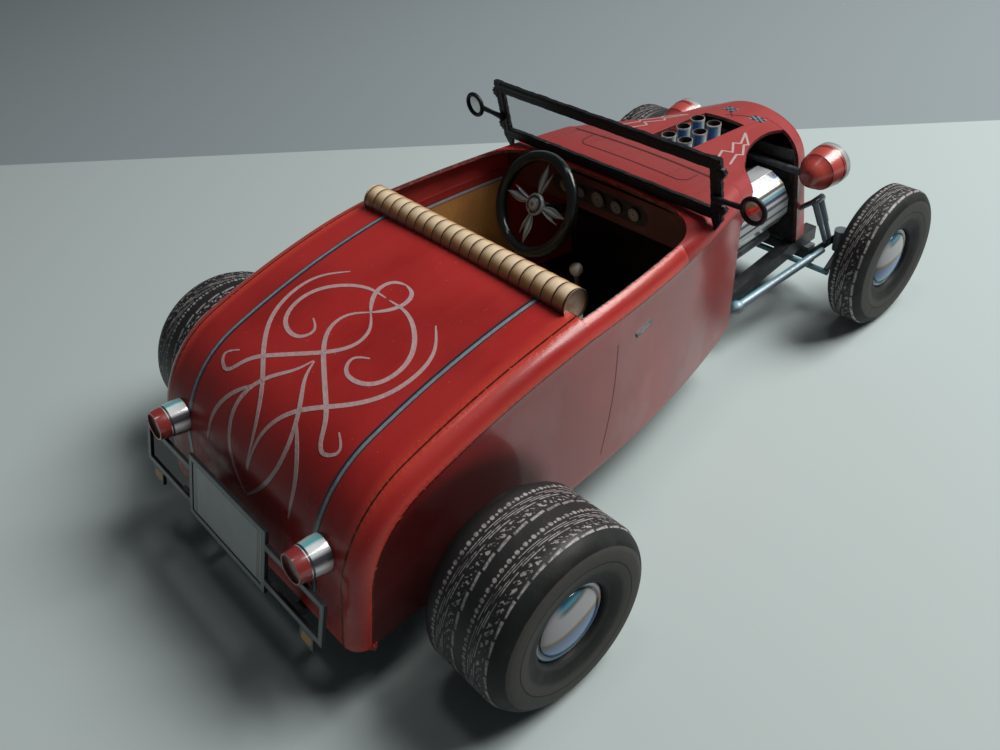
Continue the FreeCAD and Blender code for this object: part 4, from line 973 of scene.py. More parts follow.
def turned(start, way, profile, around=40, top=(0, 0, 1), arc_turn=1.0, **marks):
    """A profile of (place, radius) turned about a line. The print's second direction runs
    round it, from the top towards its right."""
    start, way = np.asarray(start, float), np.asarray(way, float)
    way = way / np.linalg.norm(way)
    side = np.cross(way, top)
    side = side / np.linalg.norm(side)
    up = np.cross(side, way)
    profile = np.asarray(profile, float)
    angle = math.tau * arc_turn * np.linspace(0, 1, around + 1)
    spin = np.cos(angle)[:, None] * up + np.sin(angle)[:, None] * side
    points = (start + profile[:, None, :1] * way + profile[:, None, 1:] * spin[None])
    if "uv" not in marks:
        run = run_along(profile)
        marks["uv"] = crossed(run / max(run[-1], 1e-9), angle / math.tau)
    marks.setdefault("edge", no_edge(points))
    return patch(points, **marks)


print("printed chrome for bars and rods")

# %% [markdown]
# ## Tyres
#
# A tyre is a strip rolled into a band, with a dished ring on each side of it. One profile
# turned about the axle makes all of it. The tread is only printed: rows of dots, dashes and a
# zigzag, white on black. Each row is a mask of the place across the strip and the place round
# it.


# %% Tread print
def row_of_dots(tree, band, cell, centre, radius, pitch):
    """Round dots: near the row's centre both across the strip and within the cell."""
    across = calc(tree, "SUBTRACT", band, centre)
    along = times(tree, calc(tree, "SUBTRACT", cell, 0.5), pitch)
    square = calc(tree, "MULTIPLY_ADD", across, across, times(tree, along, along))
    return ramp(tree, square, radius ** 2, (0.55 * radius) ** 2)


def row_of_dashes(tree, band, turn, centre, half, slant, duty, count, phase):
    """Long dashes that lean a little: a line across each cell, broken at its ends."""
    cell = calc(tree, "FRACT", calc(tree, "MULTIPLY_ADD", turn, count, phase))
    middle = calc(tree, "SUBTRACT", cell, 0.5)
    off = away_from(tree, band, calc(tree, "MULTIPLY_ADD", middle, slant, centre))
    inside = ramp(tree, calc(tree, "ABSOLUTE", middle), duty / 2, duty / 2 - 0.05)
    return times(tree, ramp(tree, off, half, half * 0.4), inside)


def tread_card(name, first, period, teeth, around):
    """The tread's print. first is where a group of rows starts, period its repeat, in mm."""
    material, tree, shader = new_material(name, (0.012, 0.012, 0.013), 0.6, 0.2, 0.35)
    across, turn = print_place(tree)
    band = calc(tree, "SUBTRACT", across, first)
    if period:
        band = calc(tree, "FLOORED_MODULO", band, period)
    cell = calc(tree, "FRACT", times(tree, turn, teeth))
    lean = calc(tree, "FRACT", calc(tree, "MULTIPLY_ADD", turn, teeth, times(tree, band, 0.9)))
    half_way = calc(tree, "FRACT", calc(tree, "ADD", cell, 0.5))
    marks = calc(tree, "MAXIMUM",
                 row_of_dots(tree, band, cell, 0.58, 0.42, around / teeth),
                 row_of_dots(tree, band, half_way, 0.66, 0.26, around / teeth))
    # place across, half width, lean, share of the cell, cells round the tyre, start
    rows = [(1.40, 0.09, -0.22, 0.9, teeth // 3, 0.00), (1.78, 0.08, -0.22, 0.9, teeth // 3, 0.3),
            (2.16, 0.10, -0.22, 0.86, teeth // 3, 0.6), (2.54, 0.13, -0.2, 0.86, teeth // 3, 0.9),
            (4.62, 0.30, 0.25, 0.90, teeth // 2, 0.2)]
    for row in rows:
        marks = calc(tree, "MAXIMUM", marks, row_of_dashes(tree, band, turn, *row))
    lattice = times(tree, ramp(tree, away_from(tree, lean, 0.5), 0.36, 0.26),
                    ramp(tree, away_from(tree, band, 3.5), 0.62, 0.50))
    holes = ramp(tree, noise(tree, 1.9, 2.0), 0.50, 0.58)
    marks = calc(tree, "MAXIMUM", marks, times(tree, lattice, holes))
    worn = ramp(tree, noise(tree, 0.28, 3.0), 0.24, 0.50)
    fleck = ramp(tree, noise(tree, 2.4, 2.0), 0.36, 0.56)
    worn = times(tree, calc(tree, "MULTIPLY_ADD", worn, 0.7, 0.3),
                 calc(tree, "MULTIPLY_ADD", fleck, 0.55, 0.45))
    base = blend(tree, noise(tree, 0.3, 2.0), (0.004, 0.005, 0.005), (0.012, 0.013, 0.013))
    color_from(tree, shader, blend(tree, times(tree, marks, worn), base, (0.37, 0.345, 0.345)))
    add_bump(tree, shader, noise(tree, 0.6, 4.0), 0.35, 0.25)
    return material


def wall_card(name, radius, hub):
    """The tyre's side: brown grey paper with dark rings, darker at the shoulder. The print's
    first direction is the distance from the axle, in mm."""
    material, tree, shader = new_material(name, (0.03, 0.028, 0.027), 0.7, 0.08, 0.4,
                                          Specular_IOR_Level=0.3)
    out, turn = print_place(tree)
    share = calc(tree, "DIVIDE", calc(tree, "SUBTRACT", out, hub), radius - hub)
    share = calc(tree, "MULTIPLY_ADD", noise(tree, 0.4, 2.0), 0.03, share)
    base = banded(tree, share, (
        (0.0, (0.006, 0.006, 0.006)), (0.06, (0.022, 0.022, 0.023)),
        (0.12, (0.006, 0.006, 0.007)), (0.28, (0.012, 0.012, 0.012)),
        (0.36, (0.046, 0.042, 0.039)), (0.49, (0.055, 0.050, 0.046)),
        (0.495, (0.002, 0.002, 0.002)), (0.515, (0.002, 0.002, 0.002)),
        (0.52, (0.046, 0.042, 0.039)), (0.78, (0.055, 0.050, 0.045)),
        (0.79, (0.003, 0.003, 0.003)), (0.825, (0.003, 0.003, 0.003)),
        (0.86, (0.006, 0.008, 0.007)), (0.97, (0.010, 0.013, 0.012))))
    smear = ramp(tree, noise(tree, 0.22, 4.0), 0.45, 0.75)
    color_from(tree, shader, blend(tree, times(tree, smear, 0.35), base, (0.045, 0.046, 0.045)))
    add_bump(tree, shader, noise(tree, 0.5, 4.0), 0.4, 0.3)
    return material


cap_print, tree, shader = new_material("cap_print", (0.4, 0.4, 0.45), 0.3, 1.0, 0.08)
out, turn = print_place(tree)
angle = times(tree, turn, math.tau)
rise = times(tree, out, calc(tree, "COSINE", angle))
side_way = times(tree, out, calc(tree, "SINE", angle))
wave = times(tree, calc(tree, "SINE", times(tree, side_way, 3.0)), 0.05)
level = calc(tree, "MULTIPLY_ADD", calc(tree, "ADD", rise, wave), 0.5, 0.5)
lower = banded(tree, level, (
    (0.0, (0.34, 0.36, 0.36)), (0.14, (0.30, 0.34, 0.35)), (0.20, (0.05, 0.30, 0.40)),
    (0.29, (0.01, 0.11, 0.38)), (0.44, (0.01, 0.06, 0.22)), (0.50, (0.02, 0.035, 0.07)),
    (0.525, (0.02, 0.03, 0.05)), (0.55, (0.34, 0.16, 0.04)), (0.575, (0.30, 0.285, 0.30)),
    (0.80, (0.33, 0.32, 0.335))))
glow = banded(tree, level, (
    (0.78, (0.33, 0.32, 0.335)), (0.83, (0.02, 0.04, 0.06)), (0.87, (0.03, 0.22, 0.30)),
    (0.94, (0.02, 0.07, 0.17)), (0.99, (0.30, 0.31, 0.33))))
patch_mark = times(tree, ramp(tree, level, 0.76, 0.80), ramp(tree, side_way, 0.45, 0.15))
domed = blend(tree, patch_mark, lower, glow)
collar = banded(tree, turn, (
    (0.0, (0.45, 0.45, 0.48)), (0.16, (0.50, 0.50, 0.54)), (0.20, (0.35, 0.17, 0.05)),
    (0.24, (0.02, 0.05, 0.12)), (0.42, (0.04, 0.20, 0.36)), (0.55, (0.42, 0.48, 0.52)),
    (0.68, (0.03, 0.06, 0.12)), (0.76, (0.36, 0.18, 0.06)), (0.80, (0.48, 0.48, 0.52))))
domed = blend(tree, ramp(tree, out, 0.86, 0.88), domed, collar)
line = times(tree, ramp(tree, out, 0.84, 0.86), ramp(tree, out, 0.90, 0.88))
edge_line = calc(tree, "MAXIMUM", line, ramp(tree, out, 0.97, 0.99))
color_from(tree, shader, blend(tree, edge_line, domed, (0.02, 0.02, 0.024)))
add_bump(tree, shader, noise(tree, 0.7, 2.0), 0.25, 0.15)
print("tread, wall and cap prints")


# %% Wheels
def wheel(end, side, sign, inner, width, bulge, drop, hub, tread, wall):
    """A tyre's bands and its cap. The profile is (place out from the inner edge of the tread,
    radius), turned once about the axle. The tread's print follows the first of the two, and
    the print of the sides follows the second."""
    low, _, middle = measured(f"tyre_{end}_{side}")
    radius = middle[2] - low[2]
    start, way = (middle[0], sign * inner, middle[2]), (0, sign, 0)
    recess, board, bore, around = 1.6, 1.0, 1.3, 96
    shoulder, bead, face = radius - drop, radius - drop * 0.12, width + bulge
    seat, back = face - recess - 1.2, -bulge * 0.4
    band = np.array([(0.0, bead), (0.3, radius), (width - 0.3, radius), (width, bead)])
    band = at_run(band, np.linspace(0, run_along(band)[-1], 16))
    swell = joined_path(
        arc((width, bead), (width + bulge * 0.74, radius - drop * 0.55), (face, shoulder), 12),
        [(face, shoulder - drop * 0.55)],
        arc((face, shoulder - drop * 0.6), (face - 0.25, (shoulder + hub) / 2 - drop * 0.2),
            (face - recess * 0.6, hub + 0.35), 14),
        [(face - recess * 0.8, hub), (seat, hub)])
    lining = np.array([(back, bore), (back, hub), (-bulge, shoulder - drop * 0.6),
                       (-bulge, shoulder), (-bulge * 0.75, radius - drop * 0.6), (0.0, bead)])
    inside = np.array([(seat, hub), (seat, bore), (back, bore)])
    parts = []
    for profile, print_way in ((lining, 1), (band, 0), (swell, 1), (inside, 1)):
        uv = crossed(profile[:, print_way], np.linspace(0, 1, around + 1))
        parts.append(turned(start, way, profile, around, uv=uv, slot=print_way, flip=True))
    body = f"wheel_{end}_{side}"
    make_piece(f"tyre_card_{end}_{side}", parts, [tread, wall], body=body,
               replaces=[f"tyre_{end}_{side}"], slot="tyre_card", sharp=50)
    cap_low, cap_high, _ = measured(f"hubcap_{end}_{side}")
    rim, seat = hub - 0.05, face - recess - board
    tall = cap_high[1] - cap_low[1]
    sweep = np.linspace(0, math.pi / 2, 14)
    dome = np.stack([seat + 0.75 + (tall - 0.75) * np.cos(sweep), rim * 0.86 * np.sin(sweep)], -1)
    profile = joined_path([(seat, 0.0)], [(seat, rim)], [(seat + 0.55, rim)],
                          arc((seat + 0.55, rim), (seat + 0.9, rim * 0.945),
                              (seat + 0.75, rim * 0.88), 8), dome[::-1])
    uv = crossed(profile[:, 1] / rim, np.linspace(0, 1, 65))
    make_piece(f"cap_{end}_{side}", [turned(start, way, profile, 64, uv=uv, flip=True)],
               [cap_print], body=body, replaces=[f"hubcap_{end}_{side}"], slot="chrome_print")


rear_tread = tread_card("rear_tread", 1.25, 6.35, 62, math.tau * rear_radius)
front_radius = measured("tyre_front_right")[2][2]
front_tread = tread_card("front_tread", 0.4, 0.0, 58, math.tau * front_radius)
REAR_HUB, FRONT_HUB = 6.6, 6.2
rear_wall = wall_card("rear_wall", rear_radius, REAR_HUB)
front_wall = wall_card("front_wall", front_radius, FRONT_HUB)
for side, sign in SIDES:
    wheel("rear", side, sign, 34.2, 12.3, 2.2, 2.67, REAR_HUB, rear_tread, rear_wall)
    wheel("front", side, sign, 28.3, 5.2, 1.1, 2.25, FRONT_HUB, front_tread, front_wall)
print("four wheels")

# %% [markdown]
# ## Lamps
#
# The headlights are cones of red card, rolled in bands with a dark fold between them, with a
# pale rim and a fluted lens in front. The tail lamps are short printed barrels. Each ends in
# a black line and a red ring, with a dark red face set back in it.

# %% Headlights
low, high, _ = measured("headlight_left")
reach, wide = high[0] - low[0], (high[2] - low[2]) / 2
BUCKET = np.array([(0.0, 0.0), (0.0, 0.26), (0.025, 0.38), (0.09, 0.50), (0.22, 0.67),
                   (0.42, 0.86), (0.435, 0.885), (0.6, 0.94), (0.80, 0.985), (0.82, 1.0),
                   (0.91, 1.0), (1.0, 1.0), (1.0, 0.93), (0.93, 0.9), (0.93, 0.0)]) * (reach, wide)
fold_one, fold_two, paper_end = (run_along(BUCKET) / run_along(BUCKET)[-1])[[5, 8, 10]]
bucket_card, tree, shader = new_material("bucket_card", RED, 0.42, 1.0, 0.2)
along, turn = print_place(tree)
dark = (0.05, 0.008, 0.006)
shade = banded(tree, along, (
    (0.0, (0.30, 0.02, 0.015)), (fold_one * 0.7, (0.50, 0.06, 0.04)),
    (fold_one - 0.006, (0.34, 0.022, 0.018)), (fold_one, dark), (fold_one + 0.006, dark),
    (fold_one + 0.012, (0.44, 0.045, 0.035)), (fold_two - 0.012, (0.50, 0.07, 0.05)),
    (fold_two, dark), (fold_two + 0.01, dark), (fold_two + 0.018, (0.42, 0.04, 0.03)),
    (paper_end - 0.006, (0.40, 0.04, 0.03)), (paper_end, (0.34, 0.37, 0.37))))
seam = ramp(tree, away_from(tree, turn, 0.5), 0.008, 0.003)
color_from(tree, shader, blend(tree, seam, shade, (0.10, 0.012, 0.01)))
card_coat(tree, shader)
lens_card, tree, shader = new_material("lens_card", (0.50, 0.54, 0.54), 0.3, 1.0, 0.1)
out, turn = print_place(tree)
flutes = calc(tree, "SINE", times(tree, out, 60.0))
glass = blend(tree, ramp(tree, flutes, -0.4, 0.7), (0.36, 0.40, 0.41), (0.62, 0.66, 0.66))
color_from(tree, shader, blend(tree, ramp(tree, out, 0.80, 0.84), glass, (0.30, 0.33, 0.33)))
for side, sign in SIDES:
    low, high, middle = measured(f"headlight_{side}")
    make_piece(f"bucket_{side}", [turned((low[0], middle[1], middle[2]), (1, 0, 0), BUCKET, 64,
                                         flip=True)],
               [bucket_card], replaces=[f"headlight_{side}"], slot="red_card", sharp=28)
low, high, _ = measured("headlight_lenses")
depth, LENS, BOWL = high[0] - low[0], 4.2, 3.75
lens_parts = []
for side, sign in SIDES:
    _, bucket_high, bucket_mid = measured(f"headlight_{side}")
    sweep = np.linspace(0, math.pi / 2, 12)
    bowl = np.stack([0.2 + (depth - 0.2) * np.cos(sweep), BOWL * np.sin(sweep)], axis=-1)
    profile = joined_path([(0.0, 0.0), (0.0, LENS), (depth * 0.5, LENS), (depth * 0.5, 3.8)],
                          bowl[::-1])
    uv = crossed(profile[:, 1] / LENS, np.linspace(0, 1, 49))
    lens_parts.append(turned((bucket_high[0], bucket_mid[1], bucket_mid[2]), (1, 0, 0), profile,
                             48, uv=uv, flip=True))
make_piece("lenses", lens_parts, [lens_card], replaces=["headlight_lenses"], slot="cream_card")
print("headlights", round(reach, 1), "mm long")

# %% Tail lamps
barrel_card, tree, shader = new_material("barrel_card", (0.5, 0.5, 0.5), 0.3, 1.0, 0.09)
along, turn = print_place(tree)
stripes = banded(tree, calc(tree, "FRACT", calc(tree, "MULTIPLY_ADD", turn, 2.0, 0.63)), (
    (0.0, (0.50, 0.50, 0.52)), (0.16, (0.60, 0.62, 0.64)), (0.24, (0.03, 0.03, 0.04)),
    (0.34, (0.05, 0.05, 0.06)), (0.40, (0.52, 0.56, 0.58)), (0.56, (0.62, 0.68, 0.70)),
    (0.62, (0.08, 0.34, 0.36)), (0.72, (0.16, 0.42, 0.44)), (0.76, (0.48, 0.50, 0.52)),
    (0.92, (0.55, 0.55, 0.57)), (0.97, (0.05, 0.05, 0.06))))
ring = ramp(tree, along, 0.705, 0.715)
band = times(tree, ramp(tree, along, 0.655, 0.665), ramp(tree, along, 0.702, 0.69))
stripes = blend(tree, band, stripes, (0.02, 0.015, 0.018))
color_from(tree, shader, blend(tree, ring, stripes, (0.22, 0.020, 0.017)))
card_coat(tree, shader, 0.5)
glow_card, tree, shader = new_material("glow_card", (0.10, 0.03, 0.028), 0.35, 1.0, 0.15)
out, turn = print_place(tree)
rings = calc(tree, "SINE", times(tree, out, 14.0))
color_from(tree, shader, blend(tree, ramp(tree, rings, -0.2, 0.8), (0.035, 0.008, 0.008),
                               (0.13, 0.030, 0.026)))
LAMP_FACE, TILT = (-66.725, 20.4, 25.3), math.radians(10)
lamp_way = np.array((-math.cos(TILT), 0, math.sin(TILT)))
barrels, glows = [], []
for _, sign in SIDES:
    face = np.array(LAMP_FACE) * (1, sign, 1)
    profile = np.array([(-1.2, 0.0), (-1.2, 2.86), (0.0, 2.88), (2.7, 2.58), (3.0, 2.56),
                        (3.98, 2.38), (3.98, 2.12), (3.55, 2.08)])
    barrels.append(turned(face, lamp_way, profile, 56, flip=True))
    profile = np.array([(3.55, 2.08), (3.50, 1.6), (3.48, 0.8), (3.5, 0.0)])
    glows.append(turned(face, lamp_way, profile, 40, flip=True))
make_piece("lamp_barrels", barrels, [barrel_card], replaces=["tail_lamps"], slot="chrome_print",
           sharp=28)
make_piece("lamp_faces", glows, [glow_card], replaces=["tail_lamp_lenses"], slot="red_print",
           thick=0.2)
print("two tail lamps, at", LAMP_FACE, "mm")

# %% [markdown]
# ## Windscreen and mirrors
#
# The frame is cut out of black card by hand. Its cut is uneven, and small toothed knobs and
# a pointed leg stand out at each side. The pane is clear film with a faint haze.


# %% Windscreen
trim_card, tree, shader = new_material("trim_card", (0.012, 0.010, 0.011), 0.6, 0.2, 0.3,
                                       Specular_IOR_Level=0.25)
grain = noise(tree, 1.1, 3.0)
tint = blend(tree, grain, (0.0020, 0.0024, 0.0042), (0.008, 0.009, 0.013))
# The frame is a little paler near its cut edges, in patches.
pale_edge = ramp(tree, edge_place(tree), 0.34, 0.2)
edge_patches = ramp(tree, noise(tree, 0.7, 3.0), 0.42, 0.6)
color_from(tree, shader, blend(tree, times(tree, pale_edge, edge_patches), tint, (0.010, 0.010, 0.010)))
add_bump(tree, shader, grain, 0.5, 0.25)
film, tree, shader = new_material("film", (0.86, 0.88, 0.88), 0.06, Transmission_Weight=0.95,
                                  IOR=1.02)
film.diffuse_color = (0.8, 0.85, 0.85, 0.3)
haze = noise(tree, 0.12, 4.0)
tree.links.new(node(tree, "MapRange", {"Value": haze, "From Min": 0.3, "From Max": 0.8,
                                       "To Min": 0.02, "To Max": 0.14}),
               shader.inputs["Roughness"])
screen_high = measured("windscreen_frame")[1]
LEAN = math.radians(7)
screen_half = screen_high[1]
screen_foot = np.array((12.775, 0, 41.45))
screen_tall = (screen_high[2] - screen_foot[2]) / math.cos(LEAN) - 0.05
BAR = 2.4
HALF_BAR = BAR / 2 - 0.12
KNOB_HEIGHTS = (2.6, 9.4)


def screen_points(y, h, off):
    """Places on the leaning screen: y across, h up its face, off out of its plane."""
    return np.stack([screen_foot[0] - h * math.sin(LEAN) + off * math.cos(LEAN), y,
                     screen_foot[2] + h * math.cos(LEAN) + off * math.sin(LEAN)], axis=-1)


def hand_cut(count, size, seed):
    """A small unevenness along a cut: three waves that don't repeat together."""
    t = np.linspace(0, 1, count)
    return size * (0.5 * np.sin(t * 41 + seed) + 0.3 * np.sin(t * 97 + 2 * seed)
                   + 0.2 * np.sin(t * 173 + 3 * seed))


def screen_bar(start, end, seed, count=160):
    """A straight bar of the frame with a raised moulding: its section is an arch from one
    uneven edge to the other."""
    start, end = np.array(start, float), np.array(end, float)
    t = np.linspace(0, 1, count)[:, None]
    way = (end - start) / np.linalg.norm(end - start)
    left = np.array((-way[1], way[0]))
    across = np.array([-1, -0.96, -0.7, -0.62, -0.3, 0, 0.3, 0.62, 0.7, 0.96, 1.0])
    rise = np.array([0.30, 0.36, 0.36, 0.48, 0.5, 0.42, 0.5, 0.48, 0.36, 0.36, 0.30])
    middle = start + (end - start) * t
    low = -HALF_BAR + hand_cut(count, 0.05, seed)
    high = HALF_BAR + hand_cut(count, 0.10, seed + 1)
    place = (low + high)[:, None] / 2 + (high - low)[:, None] / 2 * across
    flat = middle[:, None, :] + place[..., None] * left
    front = screen_points(flat[..., 0], flat[..., 1], np.broadcast_to(-rise, place.shape))
    back = screen_points(flat[..., 0], flat[..., 1], np.broadcast_to(rise, place.shape))
    ring = np.concatenate([front, back[:, ::-1], front[:, :1]], axis=1)
    caps = [np.stack([front[k], back[k]]) for k in (0, -1)]
    return [patch(ring, edge=no_edge(ring)), patch(caps[0], flip=True), patch(caps[1])]


top_h, foot_h = screen_tall - BAR / 2, BAR / 2
side_y = screen_half - BAR / 2 - 0.1
bars = screen_bar((-side_y - 1, top_h), (side_y + 1, top_h), 1.0)
bars += screen_bar((-side_y - 0.2, foot_h), (side_y + 0.2, foot_h), 2.0)
for _, sign in SIDES:
    bars += screen_bar((sign * side_y, 0.2), (sign * side_y, screen_tall - 0.1), 3.0 + sign, 80)
    leg = np.linspace(0, 1, 14)[:, None]
    flat_y = sign * (side_y + np.linspace(-1, 1, 9)[None, :] * HALF_BAR * (1 - leg * 0.93)
                     - 0.35 * leg)
    flat_h = np.broadcast_to(0.5 - 2.5 * leg, flat_y.shape)
    front = screen_points(flat_y, flat_h, np.full(flat_y.shape, -0.4))
    back = screen_points(flat_y, flat_h, np.full(flat_y.shape, 0.4))
    ring = np.concatenate([front, back[:, ::-1], front[:, :1]], axis=1)
    bars += [patch(ring, flip=sign < 0), patch(np.stack([front[-1], back[-1]]), flip=sign > 0),
             patch(np.stack([front[0], back[0]]), flip=sign < 0)]
    for knob_h in KNOB_HEIGHTS:
        turn = np.linspace(0, math.tau, 73)
        tooth = 1.0 + 0.10 * np.sign(np.sin(turn * 9))
        radius = np.array([0, 0.55, 0.6, 1.0, 1.0, 0.6, 0.55, 0.0])[:, None] * tooth[None, :]
        off = np.array([-0.55, -0.55, -0.42, -0.4, 0.4, 0.42, 0.5, 0.5])[:, None]
        y = sign * (screen_half - 0.45) + radius * np.cos(turn)
        h = knob_h + radius * np.sin(turn)
        bars.append(patch(screen_points(y, h, np.broadcast_to(off, y.shape)), flip=True))
make_piece("screen_frame", bars, [trim_card], replaces=["windscreen_frame"], slot="black_card",
           sharp=25)
pane_y, pane_h = np.meshgrid(np.linspace(-1, 1, 21) * (side_y - 1.0),
                             np.linspace(BAR * 0.75, screen_tall - BAR * 0.75, 9), indexing="ij")
FILM = 0.1
pane = screen_points(pane_y, pane_h, np.full(pane_y.shape, -0.6 * FILM))
make_piece("screen_pane", [patch(pane)], [film], replaces=["windscreen_glass"], slot="clear_film",
           thick=FILM)
print("screen", round(screen_tall, 1), "mm tall")

# %% Mirrors
mirror_face, tree, shader = new_material("mirror_face", (0.55, 0.55, 0.55), 0.06, Metallic=1.0)
film_wave = noise(tree, 0.5, 1.0)
color_from(tree, shader, blend(tree, film_wave, (0.42, 0.42, 0.43), (0.66, 0.66, 0.66)))
add_bump(tree, shader, film_wave, 0.2, 0.3)
mirror_low, mirror_high, _ = measured("mirrors")
MIRROR, TUBE = 2.5, 0.42
MIRROR_HEIGHT, ARM_HEIGHT = 46.6, 46.0
rings, faces = [], []
for _, sign in SIDES:
    centre = np.array((mirror_low[0] + 0.5, sign * (mirror_high[1] - MIRROR), MIRROR_HEIGHT))
    tube = np.linspace(0, math.tau, 17)
    profile = np.stack([TUBE * np.sin(tube), MIRROR - 0.48 + TUBE * np.cos(tube)], axis=-1)
    rings.append(turned(centre, (1, 0, 0), profile, 72))
    back = [(0.15, 0.0), (0.35, 1.0), (0.3, 2.0), (0.0, 2.2)]
    rings.append(turned(centre, (1, 0, 0), back, 40, flip=True))
    plate = [(-0.05, 0.0), (-0.05, 1.75), (0.0, 1.9)]
    faces.append(turned(centre, (1, 0, 0), plate, 40))
    start = np.array((centre[0] + 0.25, sign * (screen_half - 1.4), ARM_HEIGHT))
    reach = abs(centre[1]) - (screen_half - 1.4) - MIRROR + 0.7
    stem = [(0, 0), (0, 0.75), (0.9, 0.55), (reach * 0.5, 0.42), (reach - 0.2, 0.5), (reach, 0.3),
            (reach, 0)]
    rise = np.array((0, sign * reach, 0.35))
    rings.append(turned(start, rise, stem, 20, flip=True))
make_piece("mirror_rings", rings, [trim_card], replaces=["mirrors"], slot="black_card")
make_piece("mirror_faces", faces, [mirror_face], slot="chrome_print", thick=0.05)
print("mirrors", 2 * MIRROR, "mm across")

# %% [markdown]
# ## Steering wheel and lever
#
# The rim is a rolled tube of glossy black card. Four leaf-shaped spokes are printed as chrome
# and folded along the middle, so each one is a ridge between two points. A smaller leaf lies
# beside each of them.

# %% Steering wheel
wheel_hub = measured("steering_wheel")[2]
TIP = math.radians(30)
facing = np.array((math.cos(TIP), 0, -math.sin(TIP)))
wheel_up = np.array((math.sin(TIP), 0, math.cos(TIP)))
rim_card, tree, shader = new_material("rim_card", (0.010, 0.012, 0.013), 0.4, 0.8, 0.06,
                                      Specular_IOR_Level=0.1)
rub = noise(tree, 0.5, 3.0)
color_from(tree, shader, blend(tree, rub, (0.004, 0.007, 0.006), (0.014, 0.022, 0.019)))
add_bump(tree, shader, rub, 0.3, 0.3)
tube = np.linspace(0, math.tau, 21)
RIM_RADIUS, RIM_TUBE = 8.7, 1.09
profile = np.stack([RIM_TUBE * np.sin(tube), RIM_RADIUS + RIM_TUBE * np.cos(tube)], axis=-1)
make_piece("steering_rim", [turned(wheel_hub, facing, profile, 72, top=wheel_up)], [rim_card],
           replaces=["steering_wheel"], slot="black_card", sharp=60)

spoke_print, tree, shader = new_material("spoke_print", (0.4, 0.42, 0.44), 0.3, 1.0, 0.1)
along, across = print_place(tree)
side_share = calc(tree, "MULTIPLY_ADD", calc(tree, "SINE", times(tree, along, 5.0)), 0.10, across)
color_from(tree, shader, banded(tree, side_share, (
    (0.0, (0.03, 0.03, 0.035)), (0.12, (0.42, 0.44, 0.46)), (0.28, (0.10, 0.12, 0.13)),
    (0.40, (0.22, 0.46, 0.46)), (0.50, (0.62, 0.66, 0.66)), (0.60, (0.26, 0.42, 0.43)),
    (0.74, (0.50, 0.50, 0.52)), (0.90, (0.10, 0.10, 0.12)), (1.0, (0.03, 0.03, 0.035)))))
card_coat(tree, shader, 0.2)


def on_wheel(right, up, toward):
    """Places in the steering wheel's plane; toward is out of it, at the driver."""
    return (wheel_hub + right[..., None] * np.array((0, -1, 0)) + up[..., None] * wheel_up
            - toward[..., None] * facing)


def leaf(angle, start, end, half):
    """A spoke: pointed at both ends, widest near its outer third, folded along its middle."""
    share, across = np.meshgrid(np.linspace(0, 1, 28), np.linspace(-1, 1, 9), indexing="ij")
    run = start + (end - start) * share
    wide = half * np.sin(math.pi * share ** 0.9) ** 1.15 + 0.02
    fold = 0.45 * (1 - np.abs(across)) * (wide / half)
    right = run * math.sin(angle) + wide * across * math.cos(angle)
    up = run * math.cos(angle) - wide * across * math.sin(angle)
    front = on_wheel(right, up, 0.1 + fold)
    uv = np.stack([share, (across + 1) / 2], axis=-1)
    return patch(front, uv=uv, flip=True)


leaves = [leaf(math.radians(turn), 1.5, 7.75, 0.85) for turn in (2, 92, 182, 272)]
leaves += [leaf(math.radians(turn), 1.6, 6.4, 0.4) for turn in (17, 107, 197, 287)]
make_piece("steering_leaves", leaves, [spoke_print], replaces=["steering_spokes"],
           slot="chrome_print", thick=0.25)
hub_print, tree, shader = new_material("hub_print", (0.4, 0.42, 0.46), 0.3, 1.0, 0.08)
along, turn = print_place(tree)
color_from(tree, shader, banded(tree, along, (
    (0.0, (0.05, 0.05, 0.06)), (0.14, (0.50, 0.52, 0.54)), (0.30, (0.03, 0.03, 0.04)),
    (0.38, (0.05, 0.07, 0.10)), (0.44, (0.55, 0.58, 0.60)), (0.56, (0.30, 0.34, 0.40)),
    (0.64, (0.03, 0.06, 0.14)), (0.80, (0.10, 0.20, 0.36)), (1.0, (0.45, 0.50, 0.56)))))
hub_shape = [(0.45, 0.0), (0.45, 1.6), (0.2, 2.0), (-0.3, 2.05), (-0.55, 1.9), (-0.6, 1.55),
             (-0.45, 1.4), (-0.75, 1.2), (-1.0, 0.8), (-1.1, 0.0)]
make_piece("steering_hub", [turned(wheel_hub, facing, hub_shape[::-1], 40, top=wheel_up)],
           [hub_print], slot="chrome_print")
print("steering wheel at", np.round(wheel_hub, 1))

# %% Gear lever
lever_low, lever_high, lever_mid = measured("gear_lever")
knob_card, tree, shader = new_material("knob_card", (0.6, 0.58, 0.56), 0.3, 1.0, 0.1)
patchy = noise(tree, 0.8, 2.0)
color_from(tree, shader, blend(tree, ramp(tree, patchy, 0.35, 0.65), (0.30, 0.29, 0.29),
                               (0.70, 0.68, 0.66)))
stick_card, tree, shader = new_material("stick_card", (0.10, 0.10, 0.11), 0.4, 0.8, 0.2)
patchy = noise(tree, 0.7, 2.0)
color_from(tree, shader, blend(tree, patchy, (0.03, 0.03, 0.035), (0.22, 0.22, 0.24)))
KNOB = 1.3
ball = np.linspace(math.radians(28), math.pi, 16)
foot, top = lever_low[2], lever_high[2] - KNOB
knob = np.stack([top - foot - KNOB * np.cos(ball), KNOB * np.sin(ball)], axis=-1)
stick = [(0.0, 0.0), (0.0, 0.65), (0.7, 0.6), (top - foot - 2.2, 0.42), (knob[0, 0], knob[0, 1])]
floor_point = (lever_mid[0], 0, foot)
make_piece("lever", [turned(floor_point, (0, 0, 1), np.array(stick), 20, top=(1, 0, 0),
                            flip=True, slot=1),
                     turned(floor_point, (0, 0, 1), knob, 28, top=(1, 0, 0), flip=True)],
           [knob_card, stick_card], replaces=["gear_lever"], slot="white_card", sharp=50)
